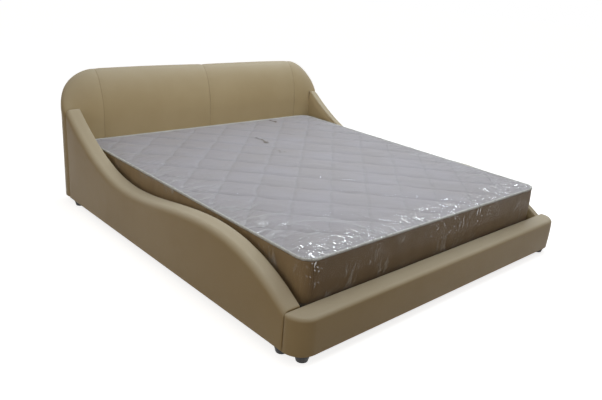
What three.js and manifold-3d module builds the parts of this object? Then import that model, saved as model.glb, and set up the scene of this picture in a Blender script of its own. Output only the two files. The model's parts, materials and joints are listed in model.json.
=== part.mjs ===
// A leather bed: rolled headboard, wave-topped side rails, low footboard, slatted base and mattress.
// In millimetres, with +X to the right seen from the foot, +Y towards the head and +Z up.
// The origin is on the floor, under the middle of the bed's length and width.

import * as THREE from 'three';
import { mergeVertices } from 'three/addons/utils/BufferGeometryUtils.js';
import Module from 'manifold-3d';

const wasm = await Module();
wasm.setup();

// Driving sizes of the whole bed.
const mattressWidth = 1800;
const mattressLength = 2000;
const mattressHeight = 215;
const sideGap = 25;
const footGap = 10;
const headGap = 4;
const railThickness = 88;
const footboardDepth = 98;
const headboardDepth = 130;
const headboardHeight = 798;
const panelLift = 40;

// Clearance between pieces that touch, the overrun of a cutting solid, and how deep joined pieces sink in.
const fit = 0.3;
const overrun = 20;
const joinRoot = 1;

// Headboard: its outline, the roll of its front, the rounding of its back, its seams and its panel.
const headboardCornerWidth = 254;
const headboardCornerHeight = 236;
const rollHeight = 220;
const rollPowerShare = 1.5;
const rollCornerDrop = 40;
const endRollWidth = 150;
const lowEdgeRadius = 14;
const endRollFade = 80;
const backTopRadius = 9;
const backEndRadius = 86;
const backEndPowerShare = 6;
const seamSpacing = 775;
const seamDepth = 3;
const seamHalfWidth = 3;
const headboardFoam = 58;
const headboardSidePad = 24;
const panelRoll = 100;
const panelTopRadius = 6;
const panelEndRadius = 60;
const backClothThickness = 2;

// Side rails: the heights of the wave's top edge, where they lie along the rail, and its end slopes.
const railHeadHeight = 588;
const railValleyHeight = 306;
const railHumpHeight = 384;
const railFootHeight = 212;
const railValleyShare = 0.65;
const railHumpShare = 0.273;
const railHeadSlopeShare = 0.78;
const railFootSlopeShare = 0.7;
const railOuterRadius = 32;
const railInnerRadius = 7;
const boardChamfer = 18;

// Footboard.
const footboardHeight = 209;
const footboardCornerRadius = 90;
const footboardEdgeRadius = 24;
const footboardInnerShare = 0.15;

// Padding between the leather's face and the boards of the rails and the footboard.
const outerPad = 16;
const innerPad = 8;
const topPad = 16;

// Feet under the panels: moulded black cones with a waist ring.
const footTopRadius = 34;
const footBottomRadius = 25;
const footRingRadius = 37;
const footRingHeight = 8;
const footFromEnd = 45;
const cornerFootInset = 70;

// Ledgers that carry the slatted base, and the steel angles in the corners.
const ledgerTop = 122;
const ledgerHeight = 40;
const ledgerWidth = 50;
const endLedgerWidth = 40;
const ledgerCornerGap = 112;
const bracketLeg = 90;
const bracketHeight = 62;
const bracketThickness = 4;
const bracketBottom = 54;
const boltHeadRadius = 9;
const boltHeadHeight = 6;
const boltNearShare = 0.42;
const boltFarShare = 0.8;

// Slatted base: steel tubes, moulded slat holders and bowed slats in two columns.
const slatBaseInset = 5;
const tubeSize = 30;
const centreBeamWidth = 40;
const slatRows = 13;
const slatWidth = 63;
const slatThickness = 8;
const slatBow = 12;
const slatEndMargin = 75;
const holderHeight = 20;
const holderLength = 45;
const holderWall = 4;
const holderEdge = 2;
const slotDepth = 32;
const centreHolderHalf = 37;

// Centre legs under the base's middle beam.
const centreLegCount = 3;
const centreLegSpacing = 640;
const centreLegRadius = 19;
const centreLegFlangeRadius = 34;
const centreLegFlangeHeight = 5;
const centreLegPadRadius = 26;
const centreLegPadHeight = 9;

// Mattress: outline, borders, piping and the diamond quilting of its top.
const mattressCornerRadius = 72;
const borderInset = 4;
const borderBulge = 4;
const borderWall = 9;
const mattressFloor = 6;
const pipingRadius = 5;
const pipingInset = 8;
const quiltThickness = 22;
const quiltEdgeDrop = 4;
const quiltPuff = 9;
const quiltCrown = 4;
const quiltPitch = 186;
const quiltFirstU = -30;
const quiltFirstV = -470;
const quiltEdgeFade = 110;

// Places worked out from the driving sizes.
const innerHalf = mattressWidth / 2 + sideGap;
const outerHalf = innerHalf + railThickness;
const railLength = footGap + mattressLength + headGap;
const overallLength = footboardDepth + railLength + headboardDepth;
const footFaceY = -overallLength / 2;
const railStartY = footFaceY + footboardDepth;
const headFaceY = railStartY + railLength;
const mattressCentreY = railStartY + footGap + mattressLength / 2;
const frameBottom = ledgerTop + fit;
const frameTop = frameBottom + tubeSize;
const slatMiddleZ = frameTop + holderHeight / 2;
const mattressBottom = slatMiddleZ + slatThickness / 2 + slatBow + fit;
const mattressTop = mattressBottom + mattressHeight;

const materials = {
  leather: new THREE.MeshStandardMaterial({ color: 0xb7a788, roughness: 0.5, metalness: 0 }),
  board: new THREE.MeshStandardMaterial({ color: 0xc8a878, roughness: 0.8, metalness: 0 }),
  backCloth: new THREE.MeshStandardMaterial({ color: 0x2b2a2a, roughness: 0.95, metalness: 0 }),
  batten: new THREE.MeshStandardMaterial({ color: 0xcfae7d, roughness: 0.75, metalness: 0 }),
  steel: new THREE.MeshStandardMaterial({ color: 0x55585a, roughness: 0.45, metalness: 0.6 }),
  zinc: new THREE.MeshStandardMaterial({ color: 0xa9acae, roughness: 0.35, metalness: 0.9 }),
  slat: new THREE.MeshStandardMaterial({ color: 0xdcbf92, roughness: 0.55, metalness: 0 }),
  plastic: new THREE.MeshStandardMaterial({ color: 0x1b1b1c, roughness: 0.55, metalness: 0 }),
  foam: new THREE.MeshStandardMaterial({ color: 0xe4dcc4, roughness: 0.95, metalness: 0 }),
  quilt: new THREE.MeshStandardMaterial({ color: 0xc6c5ca, roughness: 0.8, metalness: 0 }),
  border: new THREE.MeshStandardMaterial({ color: 0x8b7551, roughness: 0.7, metalness: 0 }),
  piping: new THREE.MeshStandardMaterial({ color: 0x8e948c, roughness: 0.7, metalness: 0 }),
};

const bed = new THREE.Group();

function add(name, geometry, material) {
  const mesh = new THREE.Mesh(geometry, material);
  mesh.name = name;
  bed.add(mesh);
}

function point(x, y, z) {
  return new THREE.Vector3(x, y, z);
}

// Evenly spaced numbers from first to last, both included.
function spread(first, last, steps) {
  return Array.from({ length: steps + 1 }, (_, i) => first + ((last - first) * i) / steps);
}

function smooth(value) {
  const t = THREE.MathUtils.clamp(value, 0, 1);
  return t * t * (3 - 2 * t);
}

function signedVolume(positions, faces) {
  const corner = (i) => point(positions[3 * i], positions[3 * i + 1], positions[3 * i + 2]);
  return faces.reduce((sum, [a, b, c]) => sum + corner(a).dot(corner(b).cross(corner(c))) / 6, 0);
}

// A geometry whose faces point out, whichever way round its rings were given.
function closedGeometry(positions, faces) {
  const inward = signedVolume(positions, faces) < 0;
  const geometry = new THREE.BufferGeometry();
  geometry.setAttribute('position', new THREE.Float32BufferAttribute(positions, 3));
  geometry.setIndex(faces.flatMap(([a, b, c]) => (inward ? [a, c, b] : [a, b, c])));
  return geometry;
}

// The area vector of a ring of points, which is square to it.
function ringNormal(ring) {
  const normal = point(0, 0, 0);
  ring.forEach((p, i) => normal.add(p.clone().cross(ring[(i + 1) % ring.length])));
  return normal;
}

// The faces of a flat cap over a ring, turned the way that its area vector points.
function capFaces(ring) {
  const normal = ringNormal(ring);
  const size = normal.toArray().map(Math.abs);
  const drop = size.indexOf(Math.max(...size));
  const flat = ring.map((p) => new THREE.Vector2(...p.toArray().filter((_, axis) => axis !== drop)));
  const turned = ([a, b, c]) => {
    const across = ring[b].clone().sub(ring[a]).cross(ring[c].clone().sub(ring[a]));
    return across.dot(normal) < 0 ? [a, c, b] : [a, b, c];
  };
  return THREE.ShapeUtils.triangulateShape(flat, []).map(turned);
}

function ringPairFaces(first, second, count) {
  return Array.from({ length: count }, (_, j) => {
    const k = (j + 1) % count;
    return [[first + j, first + k, second + k], [first + j, second + k, second + j]];
  }).flat();
}

// A closed solid through rings that all have the same number of points, with a flat cap at both ends.
function loft(rings) {
  const count = rings[0].length;
  const last = (rings.length - 1) * count;
  const faces = rings.slice(1).flatMap((_, i) => ringPairFaces(i * count, (i + 1) * count, count));
  capFaces(rings[0]).forEach(([a, b, c]) => faces.push([c, b, a]));
  capFaces(rings.at(-1)).forEach(([a, b, c]) => faces.push([last + a, last + b, last + c]));
  return closedGeometry(rings.flat().flatMap((p) => p.toArray()), faces);
}

// A closed ring-shaped solid: the last ring joins the first one.
function loop(rings) {
  const count = rings[0].length;
  const start = (i) => (i % rings.length) * count;
  const faces = rings.flatMap((_, i) => ringPairFaces(start(i), start(i + 1), count));
  return closedGeometry(rings.flat().flatMap((p) => p.toArray()), faces);
}

function box(x0, x1, y0, y1, z0, z1) {
  const geometry = new THREE.BoxGeometry(x1 - x0, y1 - y0, z1 - z0);
  return geometry.translate((x0 + x1) / 2, (y0 + y1) / 2, (z0 + z1) / 2);
}

function toSolid(geometry) {
  const bare = geometry.clone();
  bare.deleteAttribute('normal');
  bare.deleteAttribute('uv');
  const merged = mergeVertices(bare);
  return new wasm.Manifold(new wasm.Mesh({
    numProp: 3,
    vertProperties: new Float32Array(merged.attributes.position.array),
    triVerts: new Uint32Array(merged.index.array),
  }));
}

function toGeometry(solid) {
  const { vertProperties, triVerts } = solid.getMesh();
  const geometry = new THREE.BufferGeometry();
  geometry.setAttribute('position', new THREE.BufferAttribute(new Float32Array(vertProperties), 3));
  geometry.setIndex(new THREE.BufferAttribute(new Uint32Array(triVerts), 1));
  return geometry;
}

function cut(geometry, tools) {
  return toGeometry(tools.reduce((solid, tool) => solid.subtract(toSolid(tool)), toSolid(geometry)));
}

function join(geometries) {
  return geometries.map(toSolid).reduce((solid, other) => solid.add(other));
}

// Headboard. Its outline runs up the left end, over the top and down the right end. Each point of it has
// its inward direction, how much it belongs to an end, and the place where its roll meets the flat front.
const outlineSteps = 10;
const backSteps = 4;

function outlinePoint(side, x, z, out, inset, roll) {
  const end = out[0] ** backEndPowerShare;
  const fade = smooth((z - (railHeadHeight - lowEdgeRadius)) / endRollFade);
  const rollIn = THREE.MathUtils.lerp(roll.low, roll.end, fade);
  const cornerIn = (headboardCornerWidth - roll.end - inset) * (1 - out[0]);
  const faceX = outerHalf - inset - rollIn - cornerIn;
  const faceZ = headboardHeight - inset - roll.top - rollCornerDrop * (1 - out[1]);
  return { x: side * x, z, inX: -side * out[0], inZ: -out[1], end, faceX: side * faceX, faceZ };
}

function headboardOutline(inset, lowest, roll) {
  const width = headboardCornerWidth - inset;
  const height = headboardCornerHeight - inset;
  const cornerX = outerHalf - headboardCornerWidth;
  const cornerZ = headboardHeight - headboardCornerHeight;
  const corner = (side) => spread(0, Math.PI / 2, outlineSteps).map((angle) => {
    const [across, up] = [Math.cos(angle), Math.sin(angle)];
    const out = new THREE.Vector2(across / width, up / height).normalize().toArray();
    return outlinePoint(side, cornerX + width * across, cornerZ + height * up, out, inset, roll);
  });
  const foot = (side) => {
    const low = outlinePoint(side, outerHalf - inset, lowest, [1, 0], inset, roll);
    return { ...low, faceZ: lowest };
  };
  return [foot(-1), ...corner(-1), ...corner(1).reverse(), foot(1)];
}

// The front roll: shares of the way in from the outline and of the way back, by a superellipse.
const rollSteps = 8;

function rollShares(angle) {
  const power = 2 / rollPowerShare;
  return { inward: 1 - Math.sin(angle) ** power, back: 1 - Math.cos(angle) ** power };
}

function roundShares(angle) {
  return { inward: 1 - Math.cos(angle), back: Math.sin(angle) };
}

// The form of the headboard, or of the panel inside it: rings from the front face to the back face.
function headboardRings({ inset, frontY, backY, roll, topRadius, endRadius, lowest }) {
  const outline = headboardOutline(inset, lowest, roll);
  const rounding = (p) => (1 - p.end) * topRadius + p.end * endRadius;
  const front = spread(0, Math.PI / 2, rollSteps).map((angle) => outline.map((p) => {
    const share = rollShares(angle);
    const x = THREE.MathUtils.lerp(p.x, p.faceX, share.inward);
    const z = THREE.MathUtils.lerp(p.z, p.faceZ, share.inward);
    return point(x, frontY + (backY - rounding(p) - frontY) * share.back, z);
  }));
  const back = spread(0, Math.PI / 2, backSteps).slice(1).map((angle) => outline.map((p) => {
    const share = roundShares(angle);
    const inward = rounding(p) * share.inward;
    return point(p.x + p.inX * inward, backY - rounding(p) * (1 - share.back), p.z + p.inZ * inward);
  }));
  return [...front, ...back];
}

const headBackY = headFaceY + headboardDepth;

function headboardForm() {
  return headboardRings({
    inset: 0,
    frontY: headFaceY,
    backY: headBackY,
    roll: { top: rollHeight, end: endRollWidth, low: lowEdgeRadius },
    topRadius: backTopRadius,
    endRadius: backEndRadius,
    lowest: panelLift,
  });
}

// The panel's form, grown by a clearance and carried lower when it serves to cut its own pocket.
function panelForm(clearance, lowest) {
  return headboardRings({
    inset: headboardSidePad - clearance,
    frontY: headFaceY + headboardFoam - clearance,
    backY: headBackY - backClothThickness - fit,
    roll: { top: panelRoll, end: panelRoll, low: panelRoll },
    topRadius: panelTopRadius,
    endRadius: panelEndRadius,
    lowest,
  });
}

function ringAt(ring, y) {
  return ring.map((p) => point(p.x, y, p.z));
}

// The pocket leaves the padding through its back and its underside.
function panelPocket() {
  const rings = panelForm(fit, panelLift - overrun);
  return [...rings, ringAt(rings.at(-1), headBackY + overrun)];
}

// The path of a seam over the front, the roll and the top: each point has its outward direction.
function seamPath() {
  const run = headboardDepth - backTopRadius;
  const face = [{ y: headFaceY, z: panelLift - overrun, outY: -1, outZ: 0 }];
  const roll = spread(0, Math.PI / 2, rollSteps).map((angle) => {
    const share = rollShares(angle);
    const out = new THREE.Vector2(-Math.cos(angle) / run, Math.sin(angle) / rollHeight).normalize();
    return {
      y: headFaceY + run * share.back,
      z: headboardHeight - rollHeight * share.inward,
      outY: out.x,
      outZ: out.y,
    };
  });
  const back = [{ y: headBackY + overrun, z: headboardHeight, outY: 0, outZ: 1 }];
  return [...face, ...roll, ...back];
}

// A thin wedge along the seam path, which presses the sewn line into the padding.
function seamWedge(x) {
  const reach = seamHalfWidth + seamDepth;
  return loft(seamPath().map((p) => [
    point(x - 2 * seamHalfWidth, p.y + p.outY * seamDepth, p.z + p.outZ * seamDepth),
    point(x, p.y - p.outY * seamDepth, p.z - p.outZ * seamDepth),
    point(x + 2 * seamHalfWidth, p.y + p.outY * seamDepth, p.z + p.outZ * seamDepth),
    point(x, p.y + p.outY * reach, p.z + p.outZ * reach),
  ]));
}

function buildHeadboard() {
  const seams = [-seamSpacing, 0, seamSpacing].map(seamWedge);
  add('headboard_cover', cut(loft(headboardForm()), [loft(panelPocket()), ...seams]), materials.leather);
  const panel = panelForm(0, panelLift);
  add('headboard_panel', loft(panel), materials.board);
  const cloth = [headBackY - backClothThickness, headBackY].map((y) => ringAt(panel.at(-1), y));
  add('headboard_back_cloth', loft(cloth), materials.backCloth);
}

// Side rails. The top edge is a wave through four heights, level in the valley and on the hump.
function hermite(start, end, startSlope, endSlope, run, share) {
  const t2 = share * share;
  const t3 = t2 * share;
  return (2 * t3 - 3 * t2 + 1) * start + (3 * t2 - 2 * t3) * end
    + (t3 - 2 * t2 + share) * run * startSlope + (t3 - t2) * run * endSlope;
}

function railTop(share) {
  const knots = [
    { share: 0, height: railFootHeight, slope: railFootSlopeShare },
    { share: railHumpShare, height: railHumpHeight, slope: 0 },
    { share: railValleyShare, height: railValleyHeight, slope: 0 },
    { share: 1, height: railHeadHeight, slope: railHeadSlopeShare },
  ];
  const after = Math.max(1, knots.findIndex((knot) => knot.share >= share));
  const [a, b] = [knots[after - 1], knots[after]];
  const run = (b.share - a.share) * railLength;
  return hermite(a.height, b.height, a.slope, b.slope, run, (share - a.share) / (b.share - a.share));
}

const railStations = 26;
const edgeSteps = 3;

function arc(centreX, centreZ, radius, startAngle, endAngle) {
  return spread(startAngle, endAngle, edgeSteps).map((angle) => (
    [centreX + radius * Math.cos(angle), centreZ + radius * Math.sin(angle)]
  ));
}

// A rail's cross-section, from the underside at the inner face, over the top, to the outer underside.
function coverSection(top) {
  return [
    [innerHalf, panelLift],
    ...arc(innerHalf + railInnerRadius, top - railInnerRadius, railInnerRadius, Math.PI, Math.PI / 2),
    ...arc(outerHalf - railOuterRadius, top - railOuterRadius, railOuterRadius, Math.PI / 2, 0),
    [outerHalf, panelLift],
  ];
}

function boardSection(top, clearance, lowest) {
  return [
    [innerHalf + innerPad - clearance, lowest],
    [innerHalf + innerPad - clearance, top - topPad + clearance],
    [outerHalf - outerPad + clearance, top - topPad - boardChamfer + clearance],
    [outerHalf - outerPad + clearance, lowest],
  ];
}

// A solid along a rail, from one section at each station. It may run past both ends by a further length.
function railLoft(side, section, past) {
  const stations = spread(railStartY + fit, headFaceY - fit, railStations);
  const places = past > 0 ? [stations[0] - past, ...stations, stations.at(-1) + past] : stations;
  return loft(places.map((y) => {
    const share = THREE.MathUtils.clamp((y - railStartY) / railLength, 0, 1);
    return section(railTop(share)).map(([x, z]) => point(side * x, y, z));
  }));
}

function buildSideRail(side, name) {
  const form = railLoft(side, coverSection, 0);
  const pocket = railLoft(side, (top) => boardSection(top, fit, panelLift - overrun), overrun);
  const board = railLoft(side, (top) => boardSection(top, 0, panelLift), 0);
  add(`side_rail_cover_${name}`, cut(form, [pocket]), materials.leather);
  add(`side_rail_board_${name}`, board, materials.board);
}

// Footboard. Its plan is a bar with two rounded front corners, which end short of its rounded inner edge.
const footboardCorner = Math.min(
  footboardCornerRadius,
  footboardDepth - 2 * footboardEdgeRadius * footboardInnerShare,
);

const footboardCornerSteps = 6;

function footboardPlan(inset, backInset, z) {
  const radius = footboardCorner - inset;
  const centreX = outerHalf - footboardCorner;
  const centreY = footFaceY + footboardCorner;
  const backY = railStartY - backInset;
  const corner = (first, last, side) => spread(first, last, footboardCornerSteps).map((angle) => (
    point(side * centreX + radius * Math.cos(angle), centreY + radius * Math.sin(angle), z)
  ));
  return [
    point(-outerHalf + inset, backY, z),
    ...corner(Math.PI, 1.5 * Math.PI, -1),
    ...corner(1.5 * Math.PI, 2 * Math.PI, 1),
    point(outerHalf - inset, backY, z),
  ];
}

function footboardForm() {
  const edge = spread(0, Math.PI / 2, edgeSteps + 1).map((angle) => {
    const inset = footboardEdgeRadius * (1 - Math.cos(angle));
    const z = footboardHeight - footboardEdgeRadius * (1 - Math.sin(angle));
    return footboardPlan(inset, inset * footboardInnerShare, z);
  });
  return loft([footboardPlan(0, 0, panelLift), ...edge]);
}

function footboardBoard(clearance, lowest) {
  const outer = outerPad - clearance;
  const inner = innerPad - clearance;
  const top = footboardHeight - topPad + clearance;
  return loft([lowest, top].map((z) => footboardPlan(outer, inner, z)));
}

function buildFootboard() {
  const pocket = footboardBoard(fit, panelLift - overrun);
  add('footboard_cover', cut(footboardForm(), [pocket]), materials.leather);
  add('footboard_board', footboardBoard(0, panelLift), materials.board);
}

// Feet, all alike: a cone with a ring at its top that bears on the underside of a panel.
const footSides = 18;

function footGeometry() {
  const top = panelLift - fit;
  const profile = [
    [0, 0],
    [footBottomRadius, 0],
    [footTopRadius, top - footRingHeight],
    [footRingRadius, top - footRingHeight],
    [footRingRadius, top],
    [0, top],
  ];
  return uprightLathe(profile, footSides);
}

// A body turned about the upright axis, from a profile of radius and height pairs.
function uprightLathe(profile, segments) {
  const points = profile.map(([radius, height]) => new THREE.Vector2(radius, height));
  return new THREE.LatheGeometry(points, segments).rotateX(Math.PI / 2);
}

function buildFeet() {
  const railMiddle = innerHalf + railThickness / 2;
  const cornerX = outerHalf - cornerFootInset;
  const places = {
    foot_footboard: [cornerX, footFaceY + footboardDepth / 2],
    foot_rail_front: [railMiddle, railStartY + footFromEnd],
    foot_rail_rear: [railMiddle, headFaceY - footFromEnd],
    foot_headboard: [cornerX, headFaceY + headboardFoam],
  };
  Object.entries(places).forEach(([name, [x, y]]) => {
    add(`${name}_left`, footGeometry().translate(-x, y, 0), materials.plastic);
    add(`${name}_right`, footGeometry().translate(x, y, 0), materials.plastic);
  });
}

// Battens on the inner faces of the rails and of the two end panels.
function buildLedgers() {
  const low = ledgerTop - ledgerHeight;
  const wall = innerHalf - fit;
  const startY = railStartY + ledgerCornerGap;
  const endY = headFaceY - ledgerCornerGap;
  const reach = innerHalf - ledgerCornerGap;
  add('side_ledger_left', box(-wall, -wall + ledgerWidth, startY, endY, low, ledgerTop), materials.batten);
  add('side_ledger_right', box(wall - ledgerWidth, wall, startY, endY, low, ledgerTop), materials.batten);
  const footY = railStartY + fit;
  const headY = headFaceY - fit;
  add('foot_ledger', box(-reach, reach, footY, footY + endLedgerWidth, low, ledgerTop), materials.batten);
  add('head_ledger', box(-reach, reach, headY - endLedgerWidth, headY, low, ledgerTop), materials.batten);
}

// A steel angle for an inner corner, drawn with its corner at the origin and its legs along +X and +Y.
const boltHeadSides = 6;

function cornerAngle() {
  const top = bracketBottom + bracketHeight;
  const middle = bracketBottom + bracketHeight / 2;
  const gusset = new THREE.Shape([
    new THREE.Vector2(0, 0),
    new THREE.Vector2(bracketLeg, 0),
    new THREE.Vector2(0, bracketLeg),
  ]);
  const web = new THREE.ExtrudeGeometry(gusset, { depth: bracketThickness, bevelEnabled: false });
  const size = [boltHeadRadius, boltHeadRadius, boltHeadHeight, boltHeadSides];
  const head = () => new THREE.CylinderGeometry(...size);
  const heads = [boltNearShare, boltFarShare].flatMap((share, i) => {
    const along = share * bracketLeg;
    const height = middle + (i === 0 ? -1 : 1) * (bracketHeight / 4 + bracketThickness);
    const out = bracketThickness + boltHeadHeight / 2 - joinRoot;
    return [
      head().translate(along, out, height),
      head().rotateZ(Math.PI / 2).translate(out, along, height),
    ];
  });
  return toGeometry(join([
    box(0, bracketLeg, 0, bracketThickness, bracketBottom, top),
    box(0, bracketThickness, 0, bracketLeg, bracketBottom, top),
    web.translate(0, 0, middle - bracketThickness / 2),
    ...heads,
  ]));
}

// The angle turned into each corner by mirroring, which turns its faces inside out and back.
function mirrored(geometry, signX, signY) {
  const turned = geometry.clone().scale(signX, signY, 1);
  if (signX * signY < 0) turned.setIndex(Array.from(turned.index.array).reverse());
  return turned;
}

function buildBrackets() {
  const angle = cornerAngle();
  const wall = innerHalf - fit;
  const places = [
    ['foot_left', -wall, railStartY + fit, 1, 1],
    ['foot_right', wall, railStartY + fit, -1, 1],
    ['head_left', -wall, headFaceY - fit, 1, -1],
    ['head_right', wall, headFaceY - fit, -1, -1],
  ];
  places.forEach(([name, x, y, signX, signY]) => {
    add(`corner_bracket_${name}`, mirrored(angle, signX, signY).translate(x, y, 0), materials.zinc);
  });
}

// Slatted base, a little smaller than the mattress. Its rows lie evenly, with holders for the slats' tips.
const slatBaseWidth = mattressWidth - 2 * slatBaseInset;
const slatBaseLength = mattressLength - 2 * slatBaseInset;
const slatBaseY = mattressCentreY;
const slatPitch = (slatBaseLength - 2 * slatEndMargin) / (slatRows - 1);
const slotHeight = slatThickness + 2 * fit;
const slotWidth = slatWidth + 2 * fit;
const holderWidth = slotWidth + 2 * holderWall;
const sideHolderOuter = slatBaseWidth / 2 - holderEdge;
const sideHolderInner = sideHolderOuter - holderLength;
const slatOuterTip = sideHolderInner + slotDepth;
const slatInnerTip = centreHolderHalf - slotDepth;

function rowY(row) {
  return slatBaseY + (row - (slatRows - 1) / 2) * slatPitch;
}

function frameBars() {
  const halfX = slatBaseWidth / 2;
  const startY = slatBaseY - slatBaseLength / 2;
  const endY = slatBaseY + slatBaseLength / 2;
  const beam = centreBeamWidth / 2;
  return [
    box(-halfX, -halfX + tubeSize, startY, endY, frameBottom, frameTop),
    box(halfX - tubeSize, halfX, startY, endY, frameBottom, frameTop),
    box(-beam, beam, startY, endY, frameBottom, frameTop),
    box(-halfX, halfX, startY, startY + tubeSize, frameBottom, frameTop),
    box(-halfX, halfX, endY - tubeSize, endY, frameBottom, frameTop),
  ];
}

function rowHolders(row) {
  const startY = rowY(row) - holderWidth / 2;
  const endY = rowY(row) + holderWidth / 2;
  const low = frameTop - joinRoot;
  const high = frameTop + holderHeight;
  return [
    box(-sideHolderOuter, -sideHolderInner, startY, endY, low, high),
    box(-centreHolderHalf, centreHolderHalf, startY, endY, low, high),
    box(sideHolderInner, sideHolderOuter, startY, endY, low, high),
  ];
}

function rowSlots(row) {
  const startY = rowY(row) - slotWidth / 2;
  const endY = rowY(row) + slotWidth / 2;
  const low = slatMiddleZ - slotHeight / 2;
  const high = slatMiddleZ + slotHeight / 2;
  return [-1, 1].flatMap((side) => {
    const mouths = [
      [sideHolderInner - overrun, slatOuterTip],
      [slatInnerTip, centreHolderHalf + overrun],
    ];
    return mouths.map((mouth) => {
      const [x0, x1] = mouth.map((x) => side * x).sort((a, b) => a - b);
      return box(x0, x1, startY, endY, low, high);
    });
  });
}

function buildSlatFrame() {
  const rows = spread(0, slatRows - 1, slatRows - 1);
  const solid = join([...frameBars(), ...rows.flatMap(rowHolders)]);
  const slots = join(rows.flatMap(rowSlots));
  add('slat_frame', toGeometry(solid.subtract(slots)), materials.steel);
}

// A slat seen from the foot: level tips, and a bow between the holders' mouths.
const bowSteps = 10;

function slatProfile() {
  const start = slatInnerTip + fit;
  const end = slatOuterTip - fit;
  const middle = (centreHolderHalf + sideHolderInner) / 2;
  const half = (sideHolderInner - centreHolderHalf) / 2;
  const crown = spread(-1, 1, bowSteps).map((share) => (
    [middle + share * half, slatMiddleZ + slatBow * (1 - share * share)]
  ));
  const line = [[start, slatMiddleZ], ...crown, [end, slatMiddleZ]];
  const shifted = (lift) => line.map(([x, z]) => new THREE.Vector2(x, z + lift));
  return new THREE.Shape([...shifted(-slatThickness / 2), ...shifted(slatThickness / 2).reverse()]);
}

function slatGeometry(side, y) {
  const geometry = new THREE.ExtrudeGeometry(slatProfile(), { depth: slatWidth, bevelEnabled: false });
  geometry.rotateX(Math.PI / 2);
  if (side < 0) geometry.rotateZ(Math.PI).translate(0, -slatWidth, 0);
  return geometry.translate(0, y + slatWidth / 2, 0);
}

function buildSlats() {
  spread(0, slatRows - 1, slatRows - 1).forEach((row) => {
    const number = String(row + 1).padStart(2, '0');
    add(`slat_left_${number}`, slatGeometry(-1, rowY(row)), materials.slat);
    add(`slat_right_${number}`, slatGeometry(1, rowY(row)), materials.slat);
  });
}

const centreLegSides = 16;

function buildCentreLegs() {
  const top = frameBottom - fit;
  const profile = [
    [0, 0],
    [centreLegPadRadius, 0],
    [centreLegPadRadius, centreLegPadHeight],
    [centreLegRadius, centreLegPadHeight],
    [centreLegRadius, top - centreLegFlangeHeight],
    [centreLegFlangeRadius, top - centreLegFlangeHeight],
    [centreLegFlangeRadius, top],
    [0, top],
  ];
  spread(0, centreLegCount - 1, centreLegCount - 1).forEach((i) => {
    const y = slatBaseY + (i - (centreLegCount - 1) / 2) * centreLegSpacing;
    add(`centre_leg_${i + 1}`, uprightLathe(profile, centreLegSides).translate(0, y, 0), materials.steel);
  });
}

// Mattress. Its plan is a rectangle with rounded corners.
const cornerSteps = 6;

function mattressPlan(inset) {
  const radius = mattressCornerRadius - inset;
  const centreX = mattressWidth / 2 - mattressCornerRadius;
  const centreY = mattressLength / 2 - mattressCornerRadius;
  const quarter = Math.PI / 2;
  return [[1, 1], [-1, 1], [-1, -1], [1, -1]].flatMap(([signX, signY], i) => (
    spread(i * quarter, (i + 1) * quarter, cornerSteps).map((angle) => ({
      x: signX * centreX + radius * Math.cos(angle),
      y: mattressCentreY + signY * centreY + radius * Math.sin(angle),
      outX: Math.cos(angle),
      outY: Math.sin(angle),
    }))
  ));
}

function mattressRing(inset, z) {
  return mattressPlan(inset).map((p) => point(p.x, p.y, z));
}

const innerInset = pipingInset + pipingRadius + fit;
const wallInset = borderInset + borderWall;
const borderBottom = mattressBottom + 2 * (pipingRadius + fit);
const borderTop = mattressTop - 2 * pipingRadius - fit;
const floorTop = borderBottom + mattressFloor;
const quiltBottom = mattressTop - quiltThickness;

// The border swells at mid height and is drawn in at the piped seams. Its floor steps in over the piping.
const borderSteps = 6;

function buildBorder() {
  const wall = spread(0, 1, borderSteps).map((share) => {
    const inset = borderInset - borderBulge * Math.sin(share * Math.PI);
    return mattressRing(inset, THREE.MathUtils.lerp(borderBottom, borderTop, share));
  });
  const outer = [mattressRing(innerInset, mattressBottom), mattressRing(innerInset, borderBottom), ...wall];
  const hollow = [floorTop, mattressTop].map((z) => mattressRing(wallInset, z));
  add('mattress_border', cut(loft(outer), [loft(hollow)]), materials.border);
}

function buildMattressCore() {
  const levels = [floorTop + fit, quiltBottom - fit];
  add('mattress_core', loft(levels.map((z) => mattressRing(innerInset, z))), materials.foam);
}

const pipingSides = 6;

function pipingGeometry(z) {
  return loop(mattressPlan(pipingInset).map((p) => (
    spread(0, 2 * Math.PI, pipingSides).slice(1).map((angle) => {
      const out = pipingRadius * Math.cos(angle);
      return point(p.x + p.outX * out, p.y + p.outY * out, z + pipingRadius * Math.sin(angle));
    })
  )));
}

// How high the quilt stands over its edge: sewn lines at 45 degrees, puffs between them, and a slight crown.
const puffShares = [0, 0.28, 0.72];

function quiltHeight(x, y, puffed) {
  const toSide = mattressWidth / 2 - Math.abs(x);
  const toEnd = mattressLength / 2 - Math.abs(y);
  const fade = smooth(Math.min(toSide, toEnd) / quiltEdgeFade);
  const [alongX, alongY] = [x / mattressWidth, y / mattressLength].map((share) => Math.cos(share * Math.PI));
  const rise = quiltCrown * alongX * alongY + quiltEdgeDrop / 2 + (puffed ? quiltPuff : 0);
  return mattressTop - quiltEdgeDrop + fade * rise;
}

// Places across the quilt along one diagonal, past both corners, with a flag for those between sewn lines.
function quiltLines(first) {
  const reach = (mattressWidth + mattressLength) / 2 / Math.SQRT2 + quiltPitch;
  const startCell = Math.floor((-reach - first) / quiltPitch);
  const cells = Math.ceil((2 * reach) / quiltPitch) + 1;
  const starts = spread(startCell, startCell + cells, cells).map((cell) => first + cell * quiltPitch);
  return starts.flatMap((start) => puffShares.map((share) => (
    { place: start + share * quiltPitch, between: share > 0 }
  )));
}

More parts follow.
